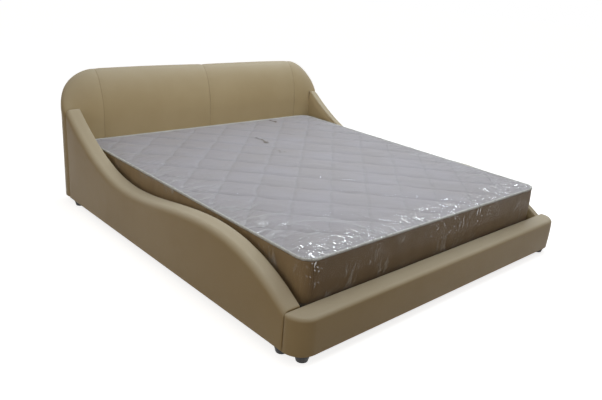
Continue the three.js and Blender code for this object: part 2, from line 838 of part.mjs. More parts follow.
// The quilted surface as a closed block: a grid of points along the two diagonals over a flat floor.
function quiltBlock() {
  const across = quiltLines(quiltFirstU);
  const along = quiltLines(quiltFirstV);
  const floor = quiltBottom - overrun;
  const surface = across.flatMap((u) => along.map((v) => {
    const x = (u.place + v.place) / Math.SQRT2;
    const y = (v.place - u.place) / Math.SQRT2;
    return point(x, mattressCentreY + y, quiltHeight(x, y, u.between && v.between));
  }));
  const lower = surface.map((p) => point(p.x, p.y, floor));
  const points = [...surface, ...lower];
  return closedGeometry(points.flatMap((p) => p.toArray()), gridFaces(across.length, along.length));
}

// Faces of a block whose upper and lower grids have the same points, rows by columns.
function gridFaces(rows, columns) {
  const under = rows * columns;
  const faces = [];
  const quad = (a, b, c, d) => faces.push([a, b, c], [a, c, d]);
  for (let i = 0; i + 1 < rows; i += 1) {
    for (let j = 0; j + 1 < columns; j += 1) {
      const a = i * columns + j;
      quad(a, a + columns, a + columns + 1, a + 1);
      quad(under + a, under + a + 1, under + a + columns + 1, under + a + columns);
    }
  }
  const wall = (a, b) => quad(a, b, under + b, under + a);
  for (let j = 0; j + 1 < columns; j += 1) {
    wall(j, j + 1);
    wall((rows - 1) * columns + j + 1, (rows - 1) * columns + j);
  }
  for (let i = 0; i + 1 < rows; i += 1) {
    wall((i + 1) * columns, i * columns);
    wall(i * columns + columns - 1, (i + 1) * columns + columns - 1);
  }
  return faces;
}

function buildQuilt() {
  const prism = loft([quiltBottom, mattressTop + overrun].map((z) => mattressRing(innerInset, z)));
  const quilt = toSolid(quiltBlock()).intersect(toSolid(prism));
  add('mattress_quilted_top', toGeometry(quilt), materials.quilt);
}

function buildMattress() {
  buildMattressCore();
  buildBorder();
  buildQuilt();
  add('mattress_piping_top', pipingGeometry(mattressTop - pipingRadius), materials.piping);
  add('mattress_piping_bottom', pipingGeometry(mattressBottom + fit + pipingRadius), materials.piping);
}

buildHeadboard();
buildSideRail(-1, 'left');
buildSideRail(1, 'right');
buildFootboard();
buildFeet();
buildLedgers();
buildBrackets();
buildSlatFrame();
buildSlats();
buildCentreLegs();
buildMattress();

export default bed;
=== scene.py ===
"""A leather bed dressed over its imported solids.

It has padded covers, a quilted mattress in clear film, and a slatted base that stays as it was packed.
Everything is in metres, with +X to the right seen from the foot, +Y towards the head and the floor at z = 0.
"""

import json
import logging
import math
from dataclasses import dataclass, field
from enum import Enum
from typing import Callable, Sequence

import bpy
import numpy as np
from mathutils import Matrix, Vector, noise

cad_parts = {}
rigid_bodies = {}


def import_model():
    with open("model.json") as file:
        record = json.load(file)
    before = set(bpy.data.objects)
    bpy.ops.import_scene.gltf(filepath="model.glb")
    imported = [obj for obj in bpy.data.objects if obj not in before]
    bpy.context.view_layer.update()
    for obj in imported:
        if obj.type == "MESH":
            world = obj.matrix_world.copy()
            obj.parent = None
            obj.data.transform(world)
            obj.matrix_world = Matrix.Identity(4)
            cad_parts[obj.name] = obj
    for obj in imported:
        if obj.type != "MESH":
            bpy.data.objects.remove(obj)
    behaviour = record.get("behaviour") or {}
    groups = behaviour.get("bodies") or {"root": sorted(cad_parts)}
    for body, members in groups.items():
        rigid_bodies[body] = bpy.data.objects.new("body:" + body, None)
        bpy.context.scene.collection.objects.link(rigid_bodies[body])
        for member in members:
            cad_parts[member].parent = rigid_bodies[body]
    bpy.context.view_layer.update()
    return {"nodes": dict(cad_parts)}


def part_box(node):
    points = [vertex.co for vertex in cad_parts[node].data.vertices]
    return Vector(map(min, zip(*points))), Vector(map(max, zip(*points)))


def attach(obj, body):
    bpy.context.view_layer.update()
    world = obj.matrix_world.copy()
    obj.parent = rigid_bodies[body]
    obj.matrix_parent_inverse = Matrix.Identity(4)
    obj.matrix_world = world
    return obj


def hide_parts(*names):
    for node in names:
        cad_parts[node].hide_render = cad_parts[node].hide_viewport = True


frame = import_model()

log = logging.getLogger("leather_bed")

Array = np.ndarray
Pair = tuple[Array, Array]
Material = bpy.types.Material
Piece = bpy.types.Object
Place = tuple[float, float, float]
Colour = tuple[float, float, float]
Setting = float | int | bool | str | Sequence

SEEING_RAYS = ("Camera", "Glossy", "Transmission")
QUILT_PITCH = 0.186
# Points closer than this are merged, and edges that turn more than these degrees are sharp.
WELD = 2e-5
SOFT_EDGE = 50.0
HARD_EDGE = 40.0


# Shader arithmetic.


class Socket:
    """A shader socket that takes part in Python sums, each of which adds its Math node."""

    def __init__(self, recipe: "Recipe", socket: bpy.types.NodeSocket | None) -> None:
        """Wrap one output socket of a recipe's node tree, or nothing where a node has none."""
        self.recipe = recipe
        self.socket = socket

    def math(self, operation: str, *values: "Socket | float") -> "Socket":
        """Return the result of one Math node.

        Args:
            operation: The Math node's operation.
            values: Its inputs in order, as sockets or numbers.

        Returns:
            The node's result.
        """
        return self.recipe.node("ShaderNodeMath", {"operation": operation}, dict(enumerate(values)))

    def __add__(self, other: "Socket | float") -> "Socket":
        """Return the sum."""
        return self.math("ADD", self, other)

    def __radd__(self, other: float) -> "Socket":
        """Return the sum with a number on the left."""
        return self.math("ADD", other, self)

    def __sub__(self, other: "Socket | float") -> "Socket":
        """Return the difference."""
        return self.math("SUBTRACT", self, other)

    def __rsub__(self, other: float) -> "Socket":
        """Return the difference from a number on the left."""
        return self.math("SUBTRACT", other, self)

    def __mul__(self, other: "Socket | float") -> "Socket":
        """Return the product."""
        return self.math("MULTIPLY", self, other)

    def __rmul__(self, other: float) -> "Socket":
        """Return the product with a number on the left."""
        return self.math("MULTIPLY", other, self)

    def __pow__(self, power: float) -> "Socket":
        """Return the value raised to a power."""
        return self.math("POWER", self, power)

    def sine(self) -> "Socket":
        """Return the sine."""
        return self.math("SINE", self)

    def size(self) -> "Socket":
        """Return the value without its sign."""
        return self.math("ABSOLUTE", self)

    def step(self, low: float, high: float) -> "Socket":
        """Return a smooth step from 0 at low to 1 at high.

        Args:
            low: The value that gives 0.
            high: The value that gives 1.

        Returns:
            The stepped value, kept between 0 and 1.
        """
        settings = {"interpolation_type": "SMOOTHSTEP", "clamp": True}
        return self.recipe.node("ShaderNodeMapRange", settings, {0: self, 1: low, 2: high, 3: 0.0, 4: 1.0})


class Recipe:
    """A material while its nodes are being laid out."""

    def __init__(self, name: str, world: bpy.types.World | None = None) -> None:
        """Start an empty material or an empty world.

        Args:
            name: The material's name.
            world: The world, where it is one that is being laid out.
        """
        self.material = world or bpy.data.materials.new(name)
        self.material.use_nodes = True
        self.tree = self.material.node_tree
        self.tree.nodes.clear()

    def node(
        self,
        kind: str,
        settings: dict[str, Setting] | None = None,
        values: "dict[str | int, Socket | Setting] | None" = None,
        output: int | str = 0,
    ) -> Socket:
        """Add a node, with its settings first and then its sockets.

        Args:
            kind: The node's type.
            settings: The node's own settings, such as a Math node's operation.
            values: What goes into its input sockets, by name or number.
            output: The output that is wanted.

        Returns:
            That output.
        """
        made = self.tree.nodes.new(kind)
        for name, value in (settings or {}).items():
            setattr(made, name, value)
        for name, value in (values or {}).items():
            if isinstance(value, Socket):
                self.tree.links.new(value.socket, made.inputs[name])
            else:
                made.inputs[name].default_value = value
        return Socket(self, made.outputs[output] if made.outputs else None)

    def place(self, stretch: Place = (1.0, 1.0, 1.0), turn: float = 0.0) -> Socket:
        """Return Object coordinates.

        Args:
            stretch: How much faster they run along each axis.
            turn: How far they are turned about the upright axis, in radians.

        Returns:
            The coordinates.
        """
        place = self.node("ShaderNodeTexCoord", output="Object")
        values = {"Vector": place, "Scale": stretch, "Rotation": (0.0, 0.0, turn)}
        return self.node("ShaderNodeMapping", {}, values)

    def axis(self, name: str) -> Socket:
        """Return one of the X, Y and Z Object coordinates."""
        return self.node("ShaderNodeSeparateXYZ", {}, {0: self.place()}, output=name)

    def facing(self, axis: str) -> Socket:
        """Return how far the surface faces along X, Y or Z, from -1 to 1."""
        normal = self.node("ShaderNodeNewGeometry", output="Normal")
        return self.node("ShaderNodeSeparateXYZ", {}, {0: normal}, output=axis)

    def attribute(self, name: str) -> Socket:
        """Return a number that the mesh holds at each point."""
        return self.node("ShaderNodeAttribute", {"attribute_name": name}, {}, output="Fac")

    def noise(self, at: Socket, scale: float, detail: float = 2.0, roughness: float = 0.5) -> Socket:
        """Return soft noise, mostly from 0.25 to 0.75, with that many humps to the metre."""
        values = {"Vector": at, "Scale": scale, "Detail": detail, "Roughness": roughness}
        return self.node("ShaderNodeTexNoise", {}, values, output="Fac")

    def cells(self, at: Socket, scale: float, feature: str = "DISTANCE_TO_EDGE") -> Socket:
        """Return a cell pattern's distance, from 0 at the edges of its cells."""
        values = {"Vector": at, "Scale": scale}
        return self.node("ShaderNodeTexVoronoi", {"feature": feature}, values, "Distance")

    def mix(self, share: "Socket | float", first: "Socket | Colour", second: "Socket | Colour") -> Socket:
        """Return a colour between two others.

        Args:
            share: How much of the second colour there is.
            first: The first colour.
            second: The second colour.

        Returns:
            The mixed colour.
        """
        colours = [c if isinstance(c, Socket) else (*c, 1.0) for c in (first, second)]
        # A Mix node's colours are its inputs 6 and 7 and its output 2.
        values = {0: share, 6: colours[0], 7: colours[1]}
        return self.node("ShaderNodeMix", {"data_type": "RGBA"}, values, output=2)

    def bump(self, height: Socket, distance: float, strength: float = 1.0) -> Socket:
        """Return a normal for a height that is worth that many metres from 0 to 1."""
        values = {"Height": height, "Distance": distance, "Strength": strength}
        return self.node("ShaderNodeBump", {}, values, "Normal")

    def facets(self, normal: Socket, at: Socket, scale: float, tilt: Socket) -> Socket:
        """Return a normal that leans another way in each cell of a pattern, as in crumpled film.

        Args:
            normal: The normal that the cells lean from.
            at: The place on the surface.
            scale: How many cells there are to the metre.
            tilt: How far they lean.

        Returns:
            The leaning normal.
        """
        colour = self.node("ShaderNodeTexVoronoi", {}, {"Vector": at, "Scale": scale}, "Color")
        lean = self.node("ShaderNodeVectorMath", {"operation": "SUBTRACT"}, {0: colour, 1: (0.5, 0.5, 0.5)})
        lean = self.node("ShaderNodeVectorMath", {"operation": "SCALE"}, {"Vector": lean, "Scale": tilt})
        total = self.node("ShaderNodeVectorMath", {"operation": "ADD"}, {0: normal, 1: lean})
        return self.node("ShaderNodeVectorMath", {"operation": "NORMALIZE"}, {0: total})

    def flecks(self, across: Socket, along: Socket, size: float, share: float) -> Socket:
        """Return a mask of separate flecks, one in the middle of some of a flat pattern's cells.

        Args:
            across: The place across the flecks, in cells.
            along: The place along them, in cells, which are longer where this rises slower.
            size: A fleck's radius as a share of a cell.
            share: How many of the cells have a fleck.

        Returns:
            1 in the flecks and 0 between them.
        """
        flat = {"voronoi_dimensions": "2D", "distance": "MANHATTAN"}
        values = {"Vector": self.node("ShaderNodeCombineXYZ", {}, {"X": across, "Y": along}), "Scale": 1.0}
        distance = self.node("ShaderNodeTexVoronoi", flat, values, "Distance")
        colour = self.node("ShaderNodeTexVoronoi", flat, values, "Color")
        chance = self.node("ShaderNodeSeparateXYZ", {}, {0: colour}, "X")
        return (1.0 - distance.step(size * 0.55, size)) * chance.math("LESS_THAN", chance, share)

    def surface(self, **sockets: "Socket | Setting") -> Material:
        """Close the material with a Principled surface.

        Args:
            sockets: The sockets' values or links, with an underscore for each space in their names.

        Returns:
            The finished material.
        """
        values = {name.replace("_", " "): value for name, value in sockets.items()}
        self.node("ShaderNodeOutputMaterial", {}, {0: self.node("ShaderNodeBsdfPrincipled", {}, values)})
        return self.material

    def seen(self) -> Socket:
        """Return 1 for the camera's rays and for reflected and refracted ones, and 0 for the rest."""
        rays = [self.node("ShaderNodeLightPath", {}, {}, f"Is {ray} Ray") for ray in SEEING_RAYS]
        return rays[0].math("MAXIMUM", rays[0], rays[1].math("MAXIMUM", rays[1], rays[2]))


# Finishes. Grains, ribs and clouds are so many to the metre, and a relief is its bump's height in metres.


class Run(Enum):
    """The way that a timber's grain runs."""

    ALONG_X = (3.0, 60.0, 60.0)
    ALONG_Y = (60.0, 3.0, 60.0)


@dataclass(frozen=True)
class Leather:
    """Cream split leather: a small pebble grain, a cloudy tone, and a painted pale sheen where it faces up.
    """

    name: str = "cream_leather"
    light: Colour = (0.475, 0.368, 0.210)
    dark: Colour = (0.425, 0.320, 0.172)
    crease: Colour = (0.215, 0.145, 0.072)
    bloom: Colour = (0.560, 0.505, 0.400)
    grain: float = 620.0
    clouds: float = 2.6
    folds: float = 34.0
    relief: float = 0.0006

    def material(self) -> Material:
        """Lay out the leather.

        Returns:
            The material.
        """
        recipe = Recipe(self.name)
        place = recipe.place()
        pebble = recipe.cells(place, self.grain).step(0.0, 0.34)
        cloud = recipe.noise(place, self.clouds, 3.0, 0.55)
        fold = recipe.noise(recipe.place((1.0, 1.0, 1.6)), self.folds, 4.0, 0.62)
        # Painted shade: the leather is darkened in its seams, in the footboard's fold and at the rails' ends.
        crease = recipe.attribute("crease")
        tone = recipe.mix(cloud.step(0.32, 0.68), self.dark, self.light)
        tone = recipe.mix(pebble * 0.10, recipe.mix(0.5, tone, self.dark), tone)
        # Painted highlight: a pale sheen is painted on the faces that look up, for the cool light from above.
        faded = recipe.facing("Z").step(0.05, 1.0) * (0.42 + cloud * 0.24)
        tone = recipe.mix(faded, tone, self.bloom)
        height = pebble * 0.35 + fold * 0.65
        return recipe.surface(
            Base_Color=recipe.mix(crease.step(0.0, 1.0) * 0.42, tone, self.crease),
            Roughness=0.33 + fold * 0.12 - cloud * 0.06,
            Specular_IOR_Level=0.09,
            Sheen_Weight=0.20,
            Sheen_Roughness=0.36,
            Sheen_Tint=(0.84, 0.92, 1.0, 1.0),
            Normal=recipe.bump(height, self.relief, 0.55),
        )


@dataclass(frozen=True)
class QuiltCloth:
    """Pale grey knitted ticking, with painted shade down in its sewn lines."""

    name: str = "quilt_ticking"
    face: Colour = (0.402, 0.381, 0.410)
    warm: Colour = (0.381, 0.357, 0.371)
    sewn: Colour = (0.235, 0.228, 0.236)
    thread: Colour = (0.500, 0.485, 0.500)
    thread_half: float = 0.0008
    stitch: float = 0.0050
    knit: float = 2400.0
    leaves: float = 46.0
    clouds: float = 3.1
    relief: float = 0.0007

    def stitches(self, recipe: Recipe, across: str, along: str) -> tuple[Socket, Socket]:
        """Return the masks of one family of sewn lines.

        Args:
            recipe: The material that they are part of.
            across: The attribute that counts the family's lines.
            along: The attribute that counts the lines that cross them.

        Returns:
            The whole line, and the stitches of thread in it.
        """
        count = recipe.attribute(across) + 0.5
        off = (count.math("FRACT", count) - 0.5).size() * QUILT_PITCH
        line = 1.0 - off.step(self.thread_half, self.thread_half * 2.0)
        turns = 2.0 * math.pi * QUILT_PITCH / self.stitch
        return line, line * (recipe.attribute(along) * turns).sine().step(-0.6, 0.1)

    def material(self) -> Material:
        """Lay out the ticking.

        Returns:
            The material.
        """
        recipe = Recipe(self.name)
        place = recipe.place()
        knit = (recipe.axis("X") * self.knit).sine() * (recipe.axis("Y") * self.knit * 0.7).sine()
        leaf = recipe.noise(recipe.place((1.0, 0.45, 1.0), 0.6), self.leaves, 1.0, 0.4)
        cloud = recipe.noise(place, self.clouds, 3.0, 0.6)
        sewn = recipe.attribute("sewn")
        line_u, thread_u = self.stitches(recipe, "lines_u", "lines_v")
        line_v, thread_v = self.stitches(recipe, "lines_v", "lines_u")
        line = line_u.math("MAXIMUM", line_u, line_v)
        thread = thread_u.math("MAXIMUM", thread_u, thread_v)
        tone = recipe.mix(cloud.step(0.3, 0.7), self.warm, self.face)
        tone = recipe.mix(leaf.step(0.5, 0.62) * 0.12, tone, self.warm)
        # Painted shade: the ticking is darkened near and along its sewn lines, for the shade in the grooves;
        # the thread's stitches stay lighter.
        tone = recipe.mix(sewn.step(0.1, 1.0) * 0.46, tone, self.sewn)
        height = knit * 0.3 + leaf * 0.7 + thread * 0.8 - line * 0.4
        return recipe.surface(
            Base_Color=recipe.mix(thread, recipe.mix(line * 0.8, tone, self.sewn), self.thread),
            Roughness=0.78 - leaf * 0.16,
            Specular_IOR_Level=0.25,
            Sheen_Weight=0.15,
            Sheen_Roughness=0.5,
            Normal=recipe.bump(height, self.relief, 0.6),
        )


@dataclass(frozen=True)
class BorderCloth:
    """The mattress's border: brown satin with upright ribs and a woven bloom, with painted shade all round
    and painted golden light along its long sides.
    """

    name: str = "border_satin"
    face: Colour = (0.325, 0.228, 0.128)
    deep: Colour = (0.190, 0.131, 0.074)
    gold: Colour = (0.430, 0.310, 0.170)
    ribs: float = 1500.0
    streaks: float = 2.2
    blooms: float = 17.0
    relief: float = 0.0009

    def material(self) -> Material:
        """Lay out the satin.

        Returns:
            The material.
        """
        recipe = Recipe(self.name)
        along = recipe.axis("X") + recipe.axis("Y")
        rib = (along * self.ribs).sine()
        streak = recipe.noise(recipe.place((9.0, 9.0, 1.2)), self.streaks, 3.0, 0.6)
        bloom = recipe.noise(recipe.place(), self.blooms, 2.0, 0.55)
        tone = recipe.mix(streak.step(0.32, 0.68) * 0.45 + 0.3, self.deep, self.face)
        tone = recipe.mix(bloom.step(0.45, 0.6) * 0.25, tone, self.deep)
        # Painted light and shade: the whole border is darkened, so its head and foot ends stay dark, and the
        # long sides that face X are painted golden.
        side_on = recipe.facing("X").size().step(0.3, 0.9)
        tone = recipe.mix(side_on * (0.25 + streak * 0.7), recipe.mix(0.8, tone, self.deep), self.gold)
        return recipe.surface(
            Base_Color=tone,
            Roughness=0.62 - bloom * 0.22,
            Specular_IOR_Level=0.12,
            Sheen_Weight=0.1,
            Normal=recipe.bump(rib * 0.35 + streak * 0.65, self.relief, 0.6),
        )


@dataclass(frozen=True)
class EdgeTape:
    """The twilled tape that binds the mattress's edges."""

    name: str = "edge_tape"
    face: Colour = (0.740, 0.740, 0.710)
    deep: Colour = (0.550, 0.550, 0.525)
    ribs: float = 1900.0
    slant: float = 0.012
    clouds: float = 30.0
    relief: float = 0.0005

    def material(self) -> Material:
        """Lay out the tape.

        Returns:
            The material.
        """
        recipe = Recipe(self.name)
        twill = ((recipe.attribute("along") + recipe.attribute("around") * self.slant) * self.ribs).sine()
        cloud = recipe.noise(recipe.place(), self.clouds, 2.0, 0.6)
        ridge = twill.step(-0.8, 0.9)
        return recipe.surface(
            Base_Color=recipe.mix(ridge * 0.6 + cloud * 0.3, self.deep, self.face),
            Roughness=0.72 + cloud * 0.1,
            Normal=recipe.bump(ridge, self.relief, 0.8),
        )


@dataclass(frozen=True)
class ClearFilm:
    """Thin clear wrapping: nearly unseen face on, bright where it glances, milky along its creases partly by
    a painted sheen, with painted glints along its foot and painted shade along a few pulls.
    """

    name: str = "clear_film"
    haze: Colour = (0.86, 0.87, 0.88)
    glint: Colour = (1.0, 1.0, 1.0)
    shade: Colour = (0.13, 0.10, 0.07)
    ripples: float = 38.0
    bunches: float = 11.0
    relief: float = 0.005
    facet_tilt: float = 0.60
    most_gloss: float = 0.13
    pulls: tuple[Place, ...] = ((0.478, 0.877, 0.13), (0.062, 0.485, 0.19), (0.010, 0.212, 0.07))
    pull_width: tuple[float, float] = (0.003, 0.012)
    pull_wander: float = 0.16

    def pull(self, recipe: Recipe, x: float, y: float, length: float) -> Socket:
        """Return the mask of one pull in the film, darkened with painted shade, which wanders up the bed.

        Args:
            recipe: The material that it is part of.
            x: The pull's middle, across the bed.
            y: The pull's middle, along the bed.
            length: How long it is.

        Returns:
            1 in the pull and 0 away from it.
        """
        wander = recipe.noise(recipe.place(), 16.0, 3.0, 0.6) - 0.5
        across = (recipe.axis("X") - x + wander * self.pull_wander).size()
        along = (recipe.axis("Y") - y).size()
        return (1.0 - across.step(*self.pull_width)) * (1.0 - along.step(length * 0.35, length * 0.5))

    def glints(self, recipe: Recipe, ripple: Socket) -> Socket:
        """Return the mask of the painted glints, small bright flecks along the gathered edges.

        Args:
            recipe: The material that they are part of.
            ripple: Soft noise that sets them a little aside.

        Returns:
            1 in the flecks and 0 between them.
        """
        across = recipe.axis("X") + (ripple - 0.5) * 0.022
        along = recipe.axis("Y") - recipe.axis("Z")
        strokes = recipe.flecks((across + along * 0.12) * 42.0, along * 5.5, 0.17, 0.5)
        specks = recipe.flecks((across - along * 0.4) * 64.0, along * 44.0, 0.27, 0.24)
        return (strokes + specks).step(0.0, 0.8) * recipe.attribute("fleck").step(0.05, 0.5)

    def material(self) -> Material:
        """Lay out the film.

        Returns:
            The material.
        """
        recipe = Recipe(self.name)
        place = recipe.place()
        crinkle = recipe.attribute("crinkle")
        ripple = recipe.noise(place, self.ripples, 3.0, 0.6)
        sharp = crinkle * recipe.noise(place, self.bunches, 2.0, 0.5).step(0.36, 0.56)
        tilt = sharp * self.facet_tilt
        normal = recipe.bump(ripple * (crinkle + 0.12), self.relief, 1.0)
        normal = recipe.facets(normal, recipe.place((1.0, 0.14, 1.0), 0.25), 120.0, tilt)
        normal = recipe.facets(normal, recipe.place((0.8, 1.0, 1.0), -0.3), 150.0, tilt)
        fresnel = recipe.node("ShaderNodeFresnel", {}, {"IOR": 1.5, "Normal": normal})
        gloss = fresnel.math("MINIMUM", fresnel, self.most_gloss) * (sharp * 0.6 + 0.08)
        # A whitish veil along the creases: partly the whitening of creased film, partly a painted sheen.
        milky = recipe.attribute("milky").step(0.1, 0.8) * 0.26 + 0.005
        # Painted shade: the film is darkened along a few pulls, where its creases fall in shade.
        first, second, third = (self.pull(recipe, *pull) for pull in self.pulls)
        dark = first + second + third * 0.6
        # Painted glints: white flecks, fully opaque and mirror-like, stand in for the lamps' glints on the
        # crinkled film.
        fleck = self.glints(recipe, ripple)
        cover = gloss + milky
        mirror = (gloss * (cover + 0.0001) ** -1.0).step(0.0, 1.0) * (1.0 - dark)
        return recipe.surface(
            Base_Color=recipe.mix(dark, recipe.mix(fleck, self.haze, self.glint), self.shade),
            Metallic=(mirror + fleck).step(0.0, 1.0),
            Roughness=0.03 + ripple * 0.05,
            Alpha=cover + dark * 0.75 + fleck,
            Normal=normal,
        )


@dataclass(frozen=True)
class Timber:
    """Sawn softwood or beech ply, with grain along one axis."""

    name: str
    run: Run
    light: Colour = (0.640, 0.455, 0.262)
    dark: Colour = (0.430, 0.270, 0.132)
    figure: float = 0.18
    fibre: float = 9.0
    relief: float = 0.0005

    def grain(self, recipe: Recipe, fineness: float, detail: float, roughness: float) -> Socket:
        """Return noise that is drawn out along the grain.

        Args:
            recipe: The material that it is part of.
            fineness: How much finer it is than the main grain.
            detail: How many finer layers it has.
            roughness: How strong they are.

        Returns:
            The noise.
        """
        place = recipe.place(tuple(v * fineness for v in self.run.value))
        return recipe.noise(place, 1.0, detail, roughness)

    def material(self) -> Material:
        """Lay out the timber.

        Returns:
            The material.
        """
        recipe = Recipe(self.name)
        grain = self.grain(recipe, 1.0, 4.0, 0.65)
        figure = self.grain(recipe, self.figure, 2.0, 0.5)
        fibre = self.grain(recipe, self.fibre, 2.0, 0.5)
        tone = recipe.mix(grain.step(0.35, 0.66), self.light, self.dark)
        return recipe.surface(
            Base_Color=recipe.mix(figure.step(0.4, 0.62) * 0.4, tone, self.light),
            Roughness=0.52 + grain * 0.2,
            Normal=recipe.bump(grain * 0.5 + fibre * 0.5, self.relief, 0.5),
        )


@dataclass(frozen=True)
class ChipBoard:
    """Raw particle board, where a panel's core shows underneath."""

    name: str = "chip_board"
    light: Colour = (0.600, 0.430, 0.255)
    dark: Colour = (0.300, 0.190, 0.098)
    flakes: float = 260.0
    dusting: float = 700.0
    relief: float = 0.0006

    def material(self) -> Material:
        """Lay out the board.

        Returns:
            The material.
        """
        recipe = Recipe(self.name)
        place = recipe.place((1.0, 1.7, 1.0), 0.5)
        flake = recipe.cells(place, self.flakes, "F1")
        dust = recipe.noise(place, self.dusting, 2.0, 0.6)
        return recipe.surface(
            Base_Color=recipe.mix((flake * 0.9 + dust * 0.4).step(0.3, 0.9), self.light, self.dark),
            Roughness=0.84 + dust * 0.1,
            Normal=recipe.bump(flake + dust * 0.4, self.relief, 0.6),
        )


@dataclass(frozen=True)
class BackCloth:
    """Black spun cloth, bonded with small diamonds, over the headboard's back."""

    name: str = "dust_cloth"
    face: Colour = (0.032, 0.031, 0.033)
    bond: Colour = (0.012, 0.012, 0.013)
    bonds: float = 1300.0
    fibres: float = 120.0
    sags: float = 5.0
    relief: float = 0.0008

    def material(self) -> Material:
        """Lay out the cloth.

        Returns:
            The material.
        """
        recipe = Recipe(self.name)
        across = recipe.axis("X") + recipe.axis("Z")
        along = recipe.axis("X") - recipe.axis("Z")
        bonded = ((across * self.bonds).sine() * (along * self.bonds).sine()).step(0.1, 0.6)
        fibre = recipe.noise(recipe.place((1.0, 1.0, 4.0)), self.fibres, 4.0, 0.7)
        sag = recipe.noise(recipe.place(), self.sags, 2.0, 0.5)
        return recipe.surface(
            Base_Color=recipe.mix(bonded, self.face, self.bond),
            Roughness=0.9 - fibre * 0.15,
            Sheen_Weight=0.3,
            Normal=recipe.bump(sag * 6.0 + fibre * 0.4 - bonded * 0.2, self.relief, 0.7),
        )


@dataclass(frozen=True)
class BaseFrame:
    """Grey powder-coated tube below, and black rubber slat holders above the level where they start."""

    name: str
    holders_from: float
    tube: Colour = (0.115, 0.120, 0.125)
    dusty: Colour = (0.160, 0.165, 0.170)
    rubber: Colour = (0.022, 0.022, 0.023)
    joint: float = 0.0004
    peels: float = 900.0
    dusting: float = 14.0
    relief: float = 0.0002

    def material(self) -> Material:
        """Lay out the two finishes in one.

        Returns:
            The material.
        """
        recipe = Recipe(self.name)
        holder = recipe.axis("Z").step(self.holders_from - self.joint, self.holders_from + self.joint)
        peel = recipe.noise(recipe.place(), self.peels, 2.0, 0.5)
        dust = recipe.noise(recipe.place(), self.dusting, 4.0, 0.65)
        metal = recipe.mix(dust.step(0.35, 0.7) * 0.35, self.tube, self.dusty)
        return recipe.surface(
            Base_Color=recipe.mix(holder, metal, self.rubber),
            Metallic=0.35 - holder * 0.35,
            Roughness=0.40 + peel * 0.1 + holder * 0.22,
            Normal=recipe.bump(peel, self.relief, 0.5),
        )


@dataclass(frozen=True)
class Zinc:
    """Bright zinc plate with cloudy spangle."""

    name: str = "zinc_plate"
    light: Colour = (0.44, 0.45, 0.46)
    dark: Colour = (0.28, 0.29, 0.30)
    spangles: float = 150.0
    rubs: float = 200.0
    relief: float = 0.0001

    def material(self) -> Material:
        """Lay out the plated steel.

        Returns:
            The material.
        """
        recipe = Recipe(self.name)
        spangle = recipe.cells(recipe.place(), self.spangles, "F1")
        rub = recipe.noise(recipe.place((1.0, 1.0, 8.0)), self.rubs, 2.0, 0.6)
        return recipe.surface(
            Base_Color=recipe.mix(spangle.step(0.1, 0.8), self.light, self.dark),
            Metallic=0.95,
            Roughness=0.28 + spangle * 0.2 + rub * 0.1,
            Normal=recipe.bump(rub, self.relief, 0.5),
        )


@dataclass(frozen=True)
class MouldedPlastic:
    """Black moulded plastic with a fine spark texture, scuffed grey near the floor."""

    name: str = "moulded_black"
    face: Colour = (0.020, 0.019, 0.020)
    scuff: Colour = (0.075, 0.072, 0.070)
    scuffed_to: float = 0.02
    sparks: float = 1400.0
    scratches: float = 90.0
    relief: float = 0.0002

    def material(self) -> Material:
        """Lay out the plastic.

        Returns:
            The material.
        """
        recipe = Recipe(self.name)
        spark = recipe.noise(recipe.place(), self.sparks, 2.0, 0.6)
        scratch = recipe.noise(recipe.place((1.0, 1.0, 5.0)), self.scratches, 4.0, 0.7)
        low = 1.0 - recipe.axis("Z").step(0.0, self.scuffed_to)
        return recipe.surface(
            Base_Color=recipe.mix(scratch.step(0.5, 0.72) * (low * 0.6 + 0.15), self.face, self.scuff),
            Roughness=0.42 + scratch * 0.2 + spark * 0.06,
            Normal=recipe.bump(spark, self.relief, 0.6),
        )


@dataclass(frozen=True)
class Foam:
    """Open-cell foam, cream and slightly yellowed."""

    name: str = "mattress_foam"
    light: Colour = (0.78, 0.70, 0.50)
    dark: Colour = (0.55, 0.46, 0.28)
    pores: float = 900.0
    clouds: float = 6.0
    relief: float = 0.0006

    def material(self) -> Material:
        """Lay out the foam.

        Returns:
            The material.
        """
        recipe = Recipe(self.name)
        pore = recipe.cells(recipe.place(), self.pores)
        cloud = recipe.noise(recipe.place(), self.clouds, 2.0, 0.5)
        return recipe.surface(
            Base_Color=recipe.mix(pore.step(0.0, 0.3) * 0.7 + cloud * 0.3, self.dark, self.light),
            Roughness=0.9 + cloud * 0.05,
            Normal=recipe.bump(pore, self.relief, 0.7),
        )


@dataclass(frozen=True)
class Thread:
    """Waxed sewing thread, a shade darker than the leather."""

    name: str = "sewing_thread"
    light: Colour = (0.440, 0.340, 0.200)
    dark: Colour = (0.330, 0.250, 0.142)
    plies: float = 2200.0
    relief: float = 0.0001

    def material(self) -> Material:
        """Lay out the thread.

        Returns:
            The material.
        """
        recipe = Recipe(self.name)
        ply = recipe.noise(recipe.place((1.0, 1.0, 0.5)), self.plies, 2.0, 0.5)
        return recipe.surface(
            Base_Color=recipe.mix(ply.step(0.3, 0.7), self.dark, self.light),
            Roughness=0.55 + ply * 0.2,
            Normal=recipe.bump(ply, self.relief, 0.5),
        )


# Skins: surfaces of points and four-sided faces.


def soft_noise(points: Array, size: float, seed: int) -> Array:
    """Return soft noise from about -1 to 1 at each point.

    Args:
        points: The places, one row each.
        size: How wide the humps are, in metres.
        seed: A number that picks the pattern.

    Returns:
        One value for each point.
    """
    shift = Vector((7.31 * seed, 3.17 * seed, 5.73 * seed))
    return np.array([noise.noise(Vector(p) + shift) for p in points / size])


def smooth_step(values: Array, low: float, high: float) -> Array:
    """Return a smooth step from 0 at low to 1 at high."""
    t = np.clip((values - low) / (high - low), 0.0, 1.0)
    return t * t * (3.0 - 2.0 * t)


def hump(distance: Array, width: float) -> Array:
    """Return a bell that is 1 at no distance and falls away over that width."""
    return np.exp(-((distance / width) ** 2))


